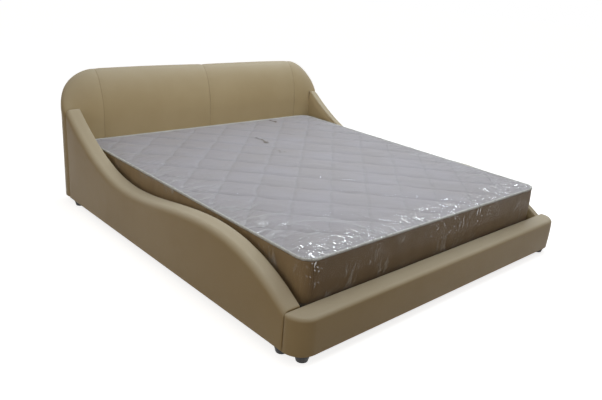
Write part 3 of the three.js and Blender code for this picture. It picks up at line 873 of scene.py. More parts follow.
def end_spacing(length: float, step: float, edge: float) -> Array:
    """Return places from 0 to length that crowd together at both ends.

    Args:
        length: The last place.
        step: The spacing in the middle.
        edge: The spacing at the ends.

    Returns:
        The places, in order.
    """
    near, gap = [0.0], edge
    while gap < step and near[-1] < length / 3:
        near.append(near[-1] + gap)
        gap *= 1.6
    middle = np.linspace(near[-1], length - near[-1], max(2, round((length - 2 * near[-1]) / step) + 1))
    return np.concatenate([near[:-1], middle, [length - p for p in reversed(near[:-1])]])


def on_plan(x: Array, y: Array) -> Array:
    """Return places at no height, for a pattern that only changes over two directions."""
    return np.stack([x, y, 0.0 * x], 1)


def ridges(values: Array, sharpness: float) -> Array:
    """Return 1 where soft noise passes through 0, falling away on both sides."""
    return np.clip(1.0 - np.abs(values) * sharpness, 0.0, 1.0) ** 2


def crowded(count: int) -> Array:
    """Return numbers from -1 to 1 that are closer together towards both ends."""
    even = np.linspace(-1.0, 1.0, count)
    return even + 0.35 * np.sin(math.pi * even) / math.pi


def quarter_turn(count: int) -> Array:
    """Return angles that are spread evenly over a quarter turn."""
    return np.linspace(0.0, math.pi / 2, count)


def add_object(name: str, data: bpy.types.ID) -> Piece:
    """Put a new object into the scene.

    Args:
        name: Its name.
        data: Its mesh, lamp or camera.

    Returns:
        The object.
    """
    made = bpy.data.objects.new(name, data)
    bpy.context.scene.collection.objects.link(made)
    return made


class Skin:
    """A surface of points and faces that is welded, pushed along its normals and closed into a shell."""

    def __init__(self, grids: Sequence[Array]) -> None:
        """Join grids of points.

        Args:
            grids: The grids, each of rows by columns by three.
        """
        points, faces, start = [], [], 0
        for grid in grids:
            rows, columns = grid.shape[:2]
            corner = (start + np.arange(rows - 1)[:, None] * columns + np.arange(columns - 1)).ravel()
            faces.append(np.stack([corner, corner + 1, corner + columns + 1, corner + columns], 1))
            points.append(grid.reshape(-1, 3))
            start += rows * columns
        self.points = np.concatenate(points)
        self.faces = np.concatenate(faces)

    def weld(self, *others: Array) -> list[Array]:
        """Merge points that coincide, and return other lists of points with the same ones left out.

        Args:
            others: Lists of as many points as this skin had.

        Returns:
            The same lists with one entry for each point that is left.
        """
        keys = np.round(self.points / WELD).astype(np.int64)
        _, first, where = np.unique(keys, axis=0, return_index=True, return_inverse=True)
        where = where.ravel()
        self.points = self.points[first]
        self.faces = where[self.faces]
        return [other[first] for other in others]

    def normals(self) -> Array:
        """Work out which way the surface faces.

        Returns:
            One unit normal for each point.
        """
        a, b, c, d = (self.points[self.faces[:, i]] for i in range(4))
        across = np.cross(c - a, d - b)
        total = np.zeros_like(self.points)
        for i in range(4):
            np.add.at(total, self.faces[:, i], across)
        return total / np.maximum(np.linalg.norm(total, axis=1, keepdims=True), 1e-12)

    def push(self, amounts: Array) -> None:
        """Move each point along its normal by its own amount."""
        self.points = self.points + self.normals() * amounts[:, None]

    def rim(self) -> Array:
        """Find the skin's open edge.

        Returns:
            The edges that only one face has, each in that face's direction.
        """
        sides = np.concatenate([self.faces[:, [i, (i + 1) % 4]] for i in range(4)])
        sides = sides[sides[:, 0] != sides[:, 1]]
        keys = np.sort(sides, axis=1)
        _, where, counts = np.unique(keys, axis=0, return_inverse=True, return_counts=True)
        return sides[counts[where.ravel()] == 1]

    def shell(self, inner: Array) -> None:
        """Close the skin with an inner skin of the same faces, joined all along the rim.

        Args:
            inner: The inner skin's points, in this skin's order.
        """
        count = len(self.points)
        rim = self.rim()
        walls = np.stack([rim[:, 1], rim[:, 0], rim[:, 0] + count, rim[:, 1] + count], 1)
        self.faces = np.concatenate([self.faces, self.faces[:, ::-1] + count, walls])
        self.points = np.concatenate([self.points, inner])

    def turn_out(self) -> None:
        """Turn the faces round if the closed skin's volume comes out negative."""
        a, b, c, d = (self.points[self.faces[:, i]] for i in range(4))
        volume = np.einsum("ij,ij->i", a, np.cross(b, c) + np.cross(c, d)).sum()
        if volume < 0:
            self.faces = self.faces[:, ::-1]

    def piece(self, name: str, **attributes: Array) -> Piece:
        """Make the skin a mesh object.

        Args:
            name: The piece's name.
            attributes: Numbers for the mesh's first points, by the name that a finish reads.

        Returns:
            The object, shaded smooth but for its sharp edges.
        """
        faces = [list(dict.fromkeys(face)) for face in self.faces.tolist()]
        mesh = bpy.data.meshes.new(name)
        mesh.from_pydata(self.points.tolist(), [], [face for face in faces if len(face) > 2])
        for label, values in attributes.items():
            whole = np.zeros(len(self.points), np.float32)
            whole[: len(values)] = values
            mesh.attributes.new(label, "FLOAT", "POINT").data.foreach_set("value", whole)
        mesh.validate()
        made = add_object(name, mesh)
        smooth_by_angle(made, SOFT_EDGE)
        return made


def select_only(made: Piece) -> None:
    """Deselect everything, then select and activate one object.

    Args:
        made: The object.
    """
    if bpy.context.object and bpy.context.object.mode != "OBJECT":
        bpy.ops.object.mode_set(mode="OBJECT")
    bpy.ops.object.select_all(action="DESELECT")
    made.select_set(True)
    bpy.context.view_layer.objects.active = made


def smooth_by_angle(made: Piece, degrees: float) -> None:
    """Shade an object smooth, with its edges sharp beyond that angle."""
    select_only(made)
    bpy.ops.object.shade_smooth_by_angle(angle=math.radians(degrees))


def dress(made: Piece, material: Material, body: str) -> Piece:
    """Give a piece its finish and the body that it rides on.

    Args:
        made: The piece.
        material: Its finish.
        body: The CAD body that it moves with.

    Returns:
        The piece.
    """
    made.data.materials.clear()
    made.data.materials.append(material)
    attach(made, body)
    log.info("%s: %d faces, on %s", made.name, len(made.data.polygons), body)
    return made


def cover_node(name: str, material: Material) -> None:
    """Give a CAD node that stays in view its finish.

    Args:
        name: The node.
        material: Its finish.
    """
    node = frame["nodes"][name]
    node.data.materials.clear()
    node.data.materials.append(material)
    log.info("%s: as packed, in %s", name, material.name)


# Padded covers.


class Cover:
    """A padded leather cover: a skin over foam, closed over the pocket that its board sits in."""

    def grids(self, pocket: bool) -> list[Array]:
        """Return the grids of the outer skin or of the pocket."""
        raise NotImplementedError

    def relief(self, points: Array) -> Pair:
        """Return how far the leather stands out at each point, and how much painted shade it gets in its
        seams and creases.
        """
        raise NotImplementedError

    def pad(self, name: str, heading: Place, flipped: bool, leather: Material) -> Piece:
        """Make the cover as one closed piece on the frame.

        Args:
            name: The piece's name.
            heading: The way that its outer skin faces on the whole.
            flipped: Whether its faces come out the wrong way round.
            leather: Its finish.

        Returns:
            The piece.
        """
        skin = Skin(self.grids(False))
        (inner,) = skin.weld(Skin(self.grids(True)).points)
        if flipped:
            skin.faces = skin.faces[:, ::-1]
        push, crease = self.relief(skin.points)
        skin.push(push * np.sign(np.sum(skin.normals() * heading)))
        skin.shell(inner)
        skin.turn_out()
        return dress(skin.piece(name, crease=crease), leather, "bed_frame")


# Headboard.


@dataclass
class Roll:
    """A headboard-shaped form: the outer cover, or the pocket round the panel inside it.

    It runs inset from the cover's outline, and its flat front and its back are places along the bed.
    The roll reaches top down from the top and end in from the ends, but only low in below the rails.
    The back's edge is rounded by top_radius along the top and by end_radius down the ends.
    """

    inset: float
    front: float
    back: float
    top: float
    end: float
    low: float
    top_radius: float
    end_radius: float


@dataclass
class Headboard(Cover):
    """The padded headboard: a rolled front in four panels between three upright seams."""

    corner_width: float = 0.254
    corner_height: float = 0.236
    corner_drop: float = 0.040
    roll_power: float = 1.8
    back_power: float = 6.0
    seam: float = 0.775
    rail_top: float = 0.574
    fade: float = 0.080
    foam: float = 0.058
    side_pad: float = 0.0237
    back_pad: float = 0.0023
    front_swell: float = 0.004
    lap: float = 0.0003
    seam_depth: float = 0.0011
    seam_width: float = 0.0018
    valley_depth: float = 0.0030
    valley_width: float = 0.022
    puff: float = 0.0030
    near_seam: tuple[float, ...] = (0.0, 0.0012, 0.0025, 0.0045, 0.008, 0.013, 0.020, 0.030, 0.044)
    past_seam: tuple[float, ...] = (0.07, 0.11, 0.16, 0.20)
    end_panel: float = 0.224
    arc_steps: int = 24
    rise_steps: int = 30
    roll_steps: int = 34
    turn_steps: int = 8
    panel_columns: int = 40
    stitch: tuple[float, float] = (0.0052, 0.00055)
    stitch_pitch: float = 0.0075
    stitch_gap: float = 0.0034
    stitches_from: float = 0.15
    hem: float = 0.018
    hem_lap: float = 0.003
    back_grid: tuple[int, int] = (161, 64)
    staple: tuple[float, float] = (0.0105, 0.0011)
    staple_step: float = 0.055
    staple_inset: float = 0.008
    staple_rise: float = 0.0016
    back_middle: float = 0.45
    low: Vector = field(init=False)
    high: Vector = field(init=False)

    def __post_init__(self) -> None:
        """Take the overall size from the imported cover, and the two forms from it."""
        self.low, self.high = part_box("headboard_cover")
        self.outer_form = Roll(
            inset=0.0,
            front=self.low.y - self.front_swell,
            back=self.high.y,
            top=0.290,
            end=0.150,
            low=0.014,
            top_radius=0.009,
            end_radius=0.086,
        )
        self.pocket_form = Roll(
            inset=self.side_pad,
            front=self.low.y + self.foam - self.lap,
            back=self.high.y - self.back_pad,
            top=0.100,
            end=0.100,
            low=0.100,
            top_radius=0.006,
            end_radius=0.060,
        )

    def stations(self, form: Roll) -> Array:
        """Return the end panel's outline from the floor up to its seam.

        Args:
            form: The form that the outline is of.

        Returns:
            Rows of x, z, outward x, outward z, face x and face z.
        """
        outer, top = self.high.x, self.high.z
        wide, tall = self.corner_width - form.inset, self.corner_height - form.inset
        centre_x, centre_z = outer - self.corner_width, top - self.corner_height
        near = [math.acos((self.seam + d - centre_x) / wide) for d in self.near_seam]
        angles = np.array([*np.linspace(0.0, near[-1], self.arc_steps)[:-1], *reversed(near)])
        out = np.stack([np.cos(angles) / wide, np.sin(angles) / tall], 1)
        out /= np.linalg.norm(out, axis=1, keepdims=True)
        x = centre_x + wide * np.cos(angles)
        z = centre_z + tall * np.sin(angles)
        last = out[-1, 0]
        share = (out[:, 0] - last) / (1.0 - last)
        inward = form.low + (form.end - form.low) * smooth_step(z, self.rail_top, self.rail_top + self.fade)
        face_x = outer - form.inset - inward - (outer - self.seam - form.end - form.inset) * (1.0 - share)
        face_z = top - form.inset - form.top - self.corner_drop * (1.0 - out[:, 1])
        corner = np.stack([x, z, out[:, 0], out[:, 1], face_x, face_z], 1)
        foot = np.array([outer - form.inset, self.low.z, 1.0, 0.0, outer - form.inset - form.low, self.low.z])
        rise = np.linspace(0.0, 1.0, self.rise_steps)[:-1, None]
        side = foot + (corner[0] - foot) * rise
        return np.concatenate([side, corner])

    def across(self, form: Roll, stations: Array) -> Array:
        """Return the rows over the roll and round to the back.

        Args:
            form: The form that they run over.
            stations: The outline's stations.

        Returns:
            Stations by points by x, y and z.
        """
        angle = quarter_turn(self.roll_steps)
        power = 2.0 / self.roll_power
        inward, back = 1.0 - np.sin(angle) ** power, 1.0 - np.cos(angle) ** power
        x, z, out_x, out_z, face_x, face_z = (stations[:, i, None] for i in range(6))
        belonging = out_x**self.back_power
        radius = (1.0 - belonging) * form.top_radius + belonging * form.end_radius
        roll = np.stack([
            x + (face_x - x) * inward,
            form.front + (form.back - radius - form.front) * back + 0.0 * x,
            z + (face_z - z) * inward,
        ], 2)
        turn = quarter_turn(self.turn_steps)[1:]
        rounding = np.stack([
            x - out_x * radius * (1.0 - np.cos(turn)),
            form.back - radius * (1.0 - np.sin(turn)),
            z - out_z * radius * (1.0 - np.cos(turn)),
        ], 2)
        return np.concatenate([roll, rounding], 1)

    def end_grid(self, form: Roll, side: int) -> Array:
        """Return one end panel: its flat front from the seam outwards, then its roll.

        Args:
            form: The form that it is part of.
            side: -1 for the left end, 1 for the right one.

        Returns:
            The panel's grid.
        """
        roll = self.across(form, self.stations(form))
        span = (roll[:, 0, 0] - self.seam)[:, None]
        share = np.array([*self.near_seam, *self.past_seam]) / self.end_panel
        flat = np.stack([
            self.seam + span * share,
            roll[:, 0, 1, None] + 0.0 * share,
            roll[:, 0, 2, None] + 0.0 * share,
        ], 2)
        grid = np.concatenate([flat, roll], 1) * [side, 1.0, 1.0]
        return grid if side > 0 else grid[::-1]

    def middle_grid(self, form: Roll) -> Array:
        """Return the two middle panels, as columns from the floor over the roll to the back.

        Args:
            form: The form that they are part of.

        Returns:
            The panels' grid.
        """
        near = np.array(self.near_seam)
        plain = np.linspace(near[-1], self.seam - near[-1], self.panel_columns)[1:-1]
        half = np.concatenate([near, plain, self.seam - near[::-1]])
        columns = np.concatenate([-half[::-1], half[1:]])
        end = self.across(form, self.stations(form))
        up = np.stack([0.0 * end[:-1, 0, 0], end[:-1, 0, 1], end[:-1, 0, 2]], 1)
        over = end[-1] * [0.0, 1.0, 1.0]
        profile = np.concatenate([up, over])
        return np.stack([profile + [x, 0.0, 0.0] for x in columns[::-1]])

    def grids(self, pocket: bool) -> list[Array]:
        """Return the whole form's grids, which meet at the outer seams."""
        form = self.pocket_form if pocket else self.outer_form
        return [self.middle_grid(form), self.end_grid(form, 1), self.end_grid(form, -1)]

    def relief(self, points: Array) -> Pair:
        """Shape the leather over its foam.

        Args:
            points: The places on the cover.

        Returns:
            How far the leather stands out at each point, and how much painted shade its seams get.
        """
        x, y, z = points.T
        seams = np.array([-self.seam, 0.0, self.seam])
        gap = np.abs(x[:, None] - seams).min(1)
        between = np.clip(gap / (self.seam / 2), 0.0, 1.0)
        push = self.puff * np.sin(between * math.pi / 2) - self.valley_depth * hump(gap, self.valley_width)
        push -= self.seam_depth * hump(gap, self.seam_width)
        push += 0.0009 * soft_noise(points, 0.24, 3) + 0.0004 * soft_noise(points, 0.06, 4)
        ray = soft_noise(on_plan(x * 0.4, z * 3.2), 0.075, 5)
        push += 0.0009 * ray * hump(gap - 0.016, 0.028)
        below_rail = smooth_step(self.rail_top - z, 0.0, 0.03)
        behind_rail = smooth_step(np.abs(x), self.seam + 0.13, self.seam + 0.15) * below_rail
        push *= 1.0 - behind_rail
        push *= 1.0 - smooth_step(y, self.high.y - 0.004, self.high.y - 0.001)
        push *= smooth_step(z, self.low.z, self.low.z + 0.02)
        # The second value paints shade into the seams.
        return push, hump(gap, 0.0015)

    def build(self, leather: Material, thread: Material) -> None:
        """Make the cover with its seams, and the stitches along them.

        Args:
            leather: The cover's finish.
            thread: The stitches' finish.
        """
        cover = self.pad("headboard_leather", (0.0, -1.0, 0.0), False, leather)
        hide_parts("headboard_cover")
        self.build_stitches(thread)

    def build_stitches(self, thread: Material) -> None:
        """Sew both sides of each seam.

        Args:
            thread: The stitches' finish.
        """
        profile = self.middle_grid(self.outer_form)[0] * [0.0, 1.0, 1.0]
        profile = profile[profile[:, 2] > self.stitches_from]
        steps = np.concatenate([[0.0], np.cumsum(np.linalg.norm(np.diff(profile, axis=0), axis=1))])
        places = np.arange(0.0, steps[-1] - 0.02, self.stitch_pitch)
        y, z = (np.interp(places, steps, profile[:, i]) for i in (1, 2))
        slope = np.stack([np.gradient(y), np.gradient(z)], 1)
        slope /= np.linalg.norm(slope, axis=1, keepdims=True)
        away = np.stack([-slope[:, 1], slope[:, 0]], 1)
        sunk = self.valley_depth * math.exp(-((self.stitch_gap / self.valley_width) ** 2)) + 0.0001
        lines = [s + d for s in (-self.seam, 0.0, self.seam) for d in (-self.stitch_gap, self.stitch_gap)]
        spots, turns = [], []
        for x in lines:
            for (py, pz), (ty, tz), (ny, nz) in zip(np.stack([y, z], 1), slope, away):
                spots.append(np.array([x, py - ny * sunk, pz - nz * sunk]))
                turns.append(np.array([[1.0, 0.0, 0.0], [0.0, ty, tz], [0.0, ny, nz]]))
        made = copies("headboard_stitching", stitch_mesh(*self.stitch), spots, turns)
        dress(made, thread, "bed_frame")

    def back_outline(self) -> Array:
        """Find the back cloth's edge.

        Returns:
            Its points as x and z, from one floor corner over the top to the other.
        """
        ring = self.across(self.pocket_form, self.stations(self.pocket_form))[:, -1]
        half = np.stack([ring[:, 0] + self.hem_lap, ring[:, 2]], 1)
        half[:, 1] += self.hem_lap * smooth_step(half[:, 1], self.rail_top, half[-1, 1])
        return np.concatenate([half, (half * [-1.0, 1.0])[::-1]])

    def back_depth(self, flat: Array, inward: Array) -> Array:
        """Return where the back cloth lies along the bed, with its hem and its small puckers.

        Args:
            flat: The cloth's places as x and z.
            inward: How far each is from the cloth's edge.

        Returns:
            The y of each place.
        """
        places = np.column_stack([flat, 0.0 * flat[:, 0]])
        pull = soft_noise(places * [1.0, 0.5, 1.0], 0.20, 61) + 0.4 * soft_noise(places, 0.07, 62)
        turns = (flat[:, 0] + flat[:, 1]) * 2 * math.pi / self.staple_step
        pucker = np.sin(turns) * hump(inward - 0.02, 0.02)
        y = self.high.y - 0.0010 + 0.0016 * (1.0 - smooth_step(inward, 0.002, 0.014))
        y += 0.0007 * (1.0 - smooth_step(inward, self.hem, self.hem + 0.002)) + 0.0003 * pucker
        y += 0.0008 * pull * smooth_step(inward, self.hem, 0.10)
        return y

    def build_back(self, cloth: Material, steel: Material) -> None:
        """Stretch the cloth over the headboard's back, with its hem turned in and stapled down.

        Args:
            cloth: The cloth's finish.
            steel: The staples' finish.
        """
        outline = self.back_outline()
        half = outline[: len(outline) // 2]
        widest = half[:, 0].max()
        arc = half[half[:, 0] < widest - 1e-6][::-1]
        columns = widest * np.sin(np.linspace(-math.pi / 2, math.pi / 2, self.back_grid[0]))
        top = np.interp(np.abs(columns), [*arc[:, 0], widest], [*arc[:, 1], arc[-1, 1]])
        share = np.linspace(0.0, 1.0, self.back_grid[1])[:, None]
        z = self.low.z + (top - self.low.z) * share
        x = columns + 0.0 * z
        flat = np.stack([x.ravel(), z.ravel()], 1)
        bottom = np.stack([columns, np.full(len(columns), self.low.z)], 1)
        edge = np.concatenate([outline, bottom])
        inward = np.array([np.hypot(*(edge - p).T).min() for p in flat])
        y = self.back_depth(flat, inward)
        skin = Skin([np.stack([x, y.reshape(x.shape), z], 2)])
        if skin.normals()[:, 1].sum() < 0:
            skin.faces = skin.faces[:, ::-1]
        made = skin.piece("back_cloth_sheet")
        dress(made, cloth, "bed_frame")
        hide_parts("headboard_back_cloth")
        self.build_staples(np.concatenate([outline, bottom[1:-1]]), steel)

    def build_staples(self, edge: Array, steel: Material) -> None:
        """Drive staples through the hem, evenly all the way round.

        Args:
            edge: The cloth's whole edge as x and z.
            steel: The staples' finish.
        """
        loop = np.concatenate([edge, edge[:1]])
        steps = np.concatenate([[0.0], np.cumsum(np.hypot(*np.diff(loop, axis=0).T))])
        places = np.arange(self.staple_step / 2, steps[-1] - 0.02, self.staple_step)
        upward = [0.0, 1.0, 0.0]
        spots, turns = [], []
        for place in places:
            x, z = (np.interp(place, steps, loop[:, i]) for i in (0, 1))
            ahead_x, ahead_z = (np.interp(place + 0.004, steps, loop[:, i]) for i in (0, 1))
            along = np.array([ahead_x - x, 0.0, ahead_z - z])
            along /= np.linalg.norm(along)
            inward = np.cross(along, upward)
            if inward @ [-x, 0.0, self.back_middle - z] < 0:
                inward = -inward
            spots.append(np.array([x, self.high.y + self.staple_rise, z]) + inward * self.staple_inset)
            turns.append(np.stack([along, np.cross(upward, along), upward]))
        made = copies("back_cloth_staples", staple_mesh(*self.staple), spots, turns)
        dress(made, steel, "bed_frame")


# Small shapes that are modelled once and copied.


class Part(Enum):
    """What an edit acts on: a mesh's points or its faces."""

    POINTS = "vertices"
    FACES = "polygons"


def pick(made: Piece, part: Part, test: Callable[[Vector], bool]) -> None:
    """Select a mesh's points or faces by their places, and stay in edit mode.

    Args:
        made: The object that is being modelled.
        part: What to select.
        test: Whether the point or face at a place is wanted.
    """
    bpy.ops.object.mode_set(mode="EDIT")
    bpy.context.tool_settings.mesh_select_mode = (part is Part.POINTS, False, part is Part.FACES)
    bpy.ops.mesh.select_all(action="DESELECT")
    bpy.ops.object.mode_set(mode="OBJECT")
    for item in getattr(made.data, part.value):
        item.select = test(item.co if part is Part.POINTS else item.center)
    bpy.ops.object.mode_set(mode="EDIT")


def take_mesh(made: Piece) -> Pair:
    """Take a modelled shape out of its object, and remove the object.

    Args:
        made: The object that is being modelled.

    Returns:
        The shape's points and its triangles.
    """
    bpy.ops.object.mode_set(mode="EDIT")
    bpy.ops.mesh.select_all(action="SELECT")
    bpy.ops.mesh.quads_convert_to_tris()
    bpy.ops.object.mode_set(mode="OBJECT")
    points = np.array([v.co[:] for v in made.data.vertices])
    faces = np.array([list(f.vertices) for f in made.data.polygons])
    bpy.data.objects.remove(made)
    return points, faces


def stitch_mesh(length: float, radius: float) -> Pair:
    """Model one stitch that lies along Y: a low cylinder whose ends are drawn in to points.

    Args:
        length: How long it is.
        radius: Its radius in the middle.

    Returns:
        Its points and its triangles.
    """
    bpy.ops.object.select_all(action="DESELECT")
    upright = (math.pi / 2, 0.0, 0.0)
    bpy.ops.mesh.primitive_cylinder_add(vertices=6, radius=radius, depth=length * 0.6, rotation=upright)
    made = bpy.context.object
    bpy.ops.object.transform_apply(location=False, rotation=True, scale=True)
    pick(made, Part.FACES, lambda place: abs(place.y) > length * 0.29)
    bpy.ops.mesh.inset(thickness=radius * 0.5, depth=length * 0.2)
    return take_mesh(made)


def staple_mesh(width: float, wire: float) -> Pair:
    """Model one staple along X, seen from above: a round wire whose ends go down into the cloth.

    Args:
        width: How wide it is.
        wire: How thick its wire is.

    Returns:
        Its points and its triangles.
    """
    bpy.ops.object.select_all(action="DESELECT")
    bpy.ops.mesh.primitive_cube_add(size=1.0, scale=(width, wire, wire))
    made = bpy.context.object
    bpy.ops.object.transform_apply(location=False, rotation=False, scale=True)
    bpy.ops.object.mode_set(mode="EDIT")
    bpy.ops.mesh.select_all(action="SELECT")
    bpy.ops.mesh.bevel(offset=wire * 0.22, segments=1)
    pick(made, Part.FACES, lambda place: abs(place.x) > width * 0.45 and place.z < 0)
    bpy.ops.mesh.select_more()
    bpy.ops.transform.translate(value=(0.0, 0.0, -wire * 0.9))
    return take_mesh(made)


def copies(name: str, base: Pair, spots: Sequence[Array], turns: Sequence[Array]) -> Piece:
    """Copy one small shape to many places and join the copies as one piece.

    Args:
        name: The piece's name.
        base: The shape's points and triangles.
        spots: Where each copy goes.
        turns: The directions that the shape's own axes take, one to a row.

    Returns:
        The piece.
    """
    points = [base[0] @ turn + spot for spot, turn in zip(spots, turns)]
    faces = [base[1] + len(base[0]) * i for i in range(len(points))]
    return plain_piece(name, np.concatenate(points), np.concatenate(faces))


def plain_piece(name: str, points: Array, faces: Array) -> Piece:
    """Make points and faces a smooth mesh object.

    Args:
        name: The object's name.
        points: Its points.
        faces: Its faces, as rows of point numbers.

    Returns:
        The object.
    """
    mesh = bpy.data.meshes.new(name)
    mesh.from_pydata(points.tolist(), [], faces.tolist())
    made = add_object(name, mesh)
    smooth_by_angle(made, HARD_EDGE)
    return made


# Side rails.


class Side(Enum):
    """The two long sides of the bed, seen from the foot."""

    LEFT = -1
    RIGHT = 1


@dataclass
class SideRail(Cover):
    """One padded side rail, whose top edge is a wave that climbs to the headboard."""

    side: Side
    heights: tuple[float, ...] = (0.212, 0.384, 0.306, 0.588)
    shares: tuple[float, ...] = (0.0, 0.273, 0.65, 1.0)
    slopes: tuple[float, ...] = (0.7, 0.0, 0.0, 0.78)
    outer_radius: float = 0.032
    inner_radius: float = 0.007
    outer_pad: float = 0.0157
    inner_pad: float = 0.0077
    top_pad: float = 0.0157
    chamfer: float = 0.018
    pocket_edge: float = 0.0005
    end_radius: float = 0.007
    face_steps: int = 22
    inner_steps: int = 9
    cap_steps: int = 10
    outer_steps: int = 13
    overlap: float = 0.0003
    spacing: tuple[float, float] = (0.009, 0.0008)
    swell: float = 0.0028
    lean: float = 0.003
    right_lean: float = 0.006
    right_settle: float = 0.012
    dip: tuple[float, float] = (0.66, 0.13)
    dip_ripple: float = 0.0007

    def __post_init__(self) -> None:
        """Take the rail's name and size from its packed cover."""
        self.name = self.side.name.lower()
        self.low, self.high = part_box(f"side_rail_cover_{self.name}")
        self.inner_x, self.outer_x = sorted((abs(self.low.x), abs(self.high.x)))
        self.length = self.high.y - self.low.y

    def share(self, along: Array) -> Array:
        """Return distances from the rail's foot end as shares of the wave's whole length."""
        return np.clip((along + self.overlap) / (self.length + 2 * self.overlap), 0.0, 1.0)

    def top(self, share: Array) -> Array:
        """Return the height of the top edge.

        Args:
            share: Shares of the way from the foot to the head.

        Returns:
            One height for each.
        """
        length = self.length + 2 * self.overlap
        found = np.zeros_like(share)
        for i in range(3):
            inside = (share >= self.shares[i]) & (share <= self.shares[i + 1])
            run = self.shares[i + 1] - self.shares[i]
            t = (share[inside] - self.shares[i]) / run
            ends = (2 * t**3 - 3 * t**2 + 1) * self.heights[i] + (3 * t**2 - 2 * t**3) * self.heights[i + 1]
            lean = (t**3 - 2 * t**2 + t) * self.slopes[i] + (t**3 - t**2) * self.slopes[i + 1]
            found[inside] = ends + lean * run * length
        return found

    def section(self, top: Array, pocket: bool) -> Array:
        """Return one section for each height of the top.

        Args:
            top: The top's height at each station.
            pocket: Whether the section is of the pocket round the board instead of the cover.

        Returns:
            Sections by points by distance from the bed's middle and z.
        """
        face = np.linspace(0.0, 1.0, self.face_steps)
        quarter = quarter_turn(self.inner_steps)
        bow = quarter_turn(self.outer_steps)
        cap = np.linspace(0.0, 1.0, self.cap_steps)[1:-1]
        inner_x, outer_x, low, rise = self.inner_x, self.outer_x, self.low.z, top[:, None]
        r_in, r_out = self.inner_radius, self.outer_radius
        if pocket:
            inner_x, outer_x = inner_x + self.inner_pad, outer_x - self.outer_pad
            rise = rise - self.top_pad
            r_in, r_out = self.pocket_edge, self.chamfer
        wall = 0.0 * rise
        start, stop = inner_x + r_in, outer_x - r_out
        parts = [
            (inner_x + wall + 0.0 * face, low + (rise - r_in - low) * face),
            (inner_x + wall + r_in * (1 - np.cos(quarter[1:])), rise - r_in + r_in * np.sin(quarter[1:])),
            (start + (stop - start) * cap + wall, rise + 0.0 * cap),
            (outer_x - r_out + r_out * np.sin(bow) + wall, rise - r_out + r_out * np.cos(bow)),
            (outer_x + wall + 0.0 * face[1:], rise - r_out + (low - rise + r_out) * face[1:]),
        ]
        return np.concatenate([np.stack([x, z], 2) for x, z in parts], 1)

    def grids(self, pocket: bool) -> list[Array]:
        """Return the rail's one grid of sections from the foot to the head.

        Args:
            pocket: Whether it is of the pocket instead of the cover.

        Returns:
            Sections by points by x, y and z.
        """
        along = end_spacing(self.length, *self.spacing)
        cut = self.section(self.top(self.share(along)), pocket)
        y = np.repeat((self.low.y + along)[:, None], cut.shape[1], 1)
        return [np.stack([cut[:, :, 0] * self.side.value, y, cut[:, :, 1]], 2)]

    def relief(self, points: Array) -> Pair:
        """Shape the leather over its foam.

        Args:
            points: The places on the cover.

        Returns:
            How far the leather stands out at each point, and how much painted shade its ends get.
        """
        x, y, z = np.abs(points[:, 0]), points[:, 1], points[:, 2]
        outer_x, low_z = self.outer_x, self.low.z
        share = self.share(y - self.low.y)
        top = self.top(share)
        outside = smooth_step(x, outer_x - 0.05, outer_x)
        middle = np.clip((z - low_z) / (top - low_z), 0.0, 1.0)
        end = np.minimum(y - self.low.y, self.high.y - y)
        push = self.swell * outside * np.sin(middle * math.pi) * smooth_step(end, 0.0, 0.12)
        push += 0.0010 * soft_noise(points, 0.30, 11) + 0.0004 * soft_noise(points, 0.07, 12)
        on_top = smooth_step(top - z, 0.05, 0.0)
        right = self.side is Side.RIGHT
        lean = self.right_lean if right else self.lean
        push -= on_top * (lean * smooth_step(x, outer_x - 0.075, outer_x - 0.03) + right * self.right_settle)
        ripple = soft_noise(np.stack([x * 0.6, y, z * 0.35], 1), 0.022, 13)
        valley = hump(share - self.dip[0], self.dip[1])
        push += self.dip_ripple * valley * ripple * smooth_step(top - z, 0.09, 0.0)
        near = np.clip(self.end_radius - end, 0.0, self.end_radius)
        push -= self.end_radius - np.sqrt(self.end_radius**2 - near**2)
        push *= smooth_step(z, low_z, low_z + 0.015)
        hidden = smooth_step(self.inner_x + 0.012 - x, 0.0, 0.01) * (z < top - 0.02)
        push = np.where(push > 0, push * (1.0 - hidden), push)
        # The second value paints shade onto the rail's ends, where they meet the headboard and the footboard.
        return push, hump(end, 0.0015) * 0.8

    def build(self, leather: Material) -> None:
        """Make the rail's cover.

        Args:
            leather: Its finish.
        """
        heading = (self.side.value, 0.0, 0.7)
        cover = self.pad(f"side_rail_leather_{self.name}", heading, self.side is Side.RIGHT, leather)
        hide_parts(f"side_rail_cover_{self.name}")


# Footboard.


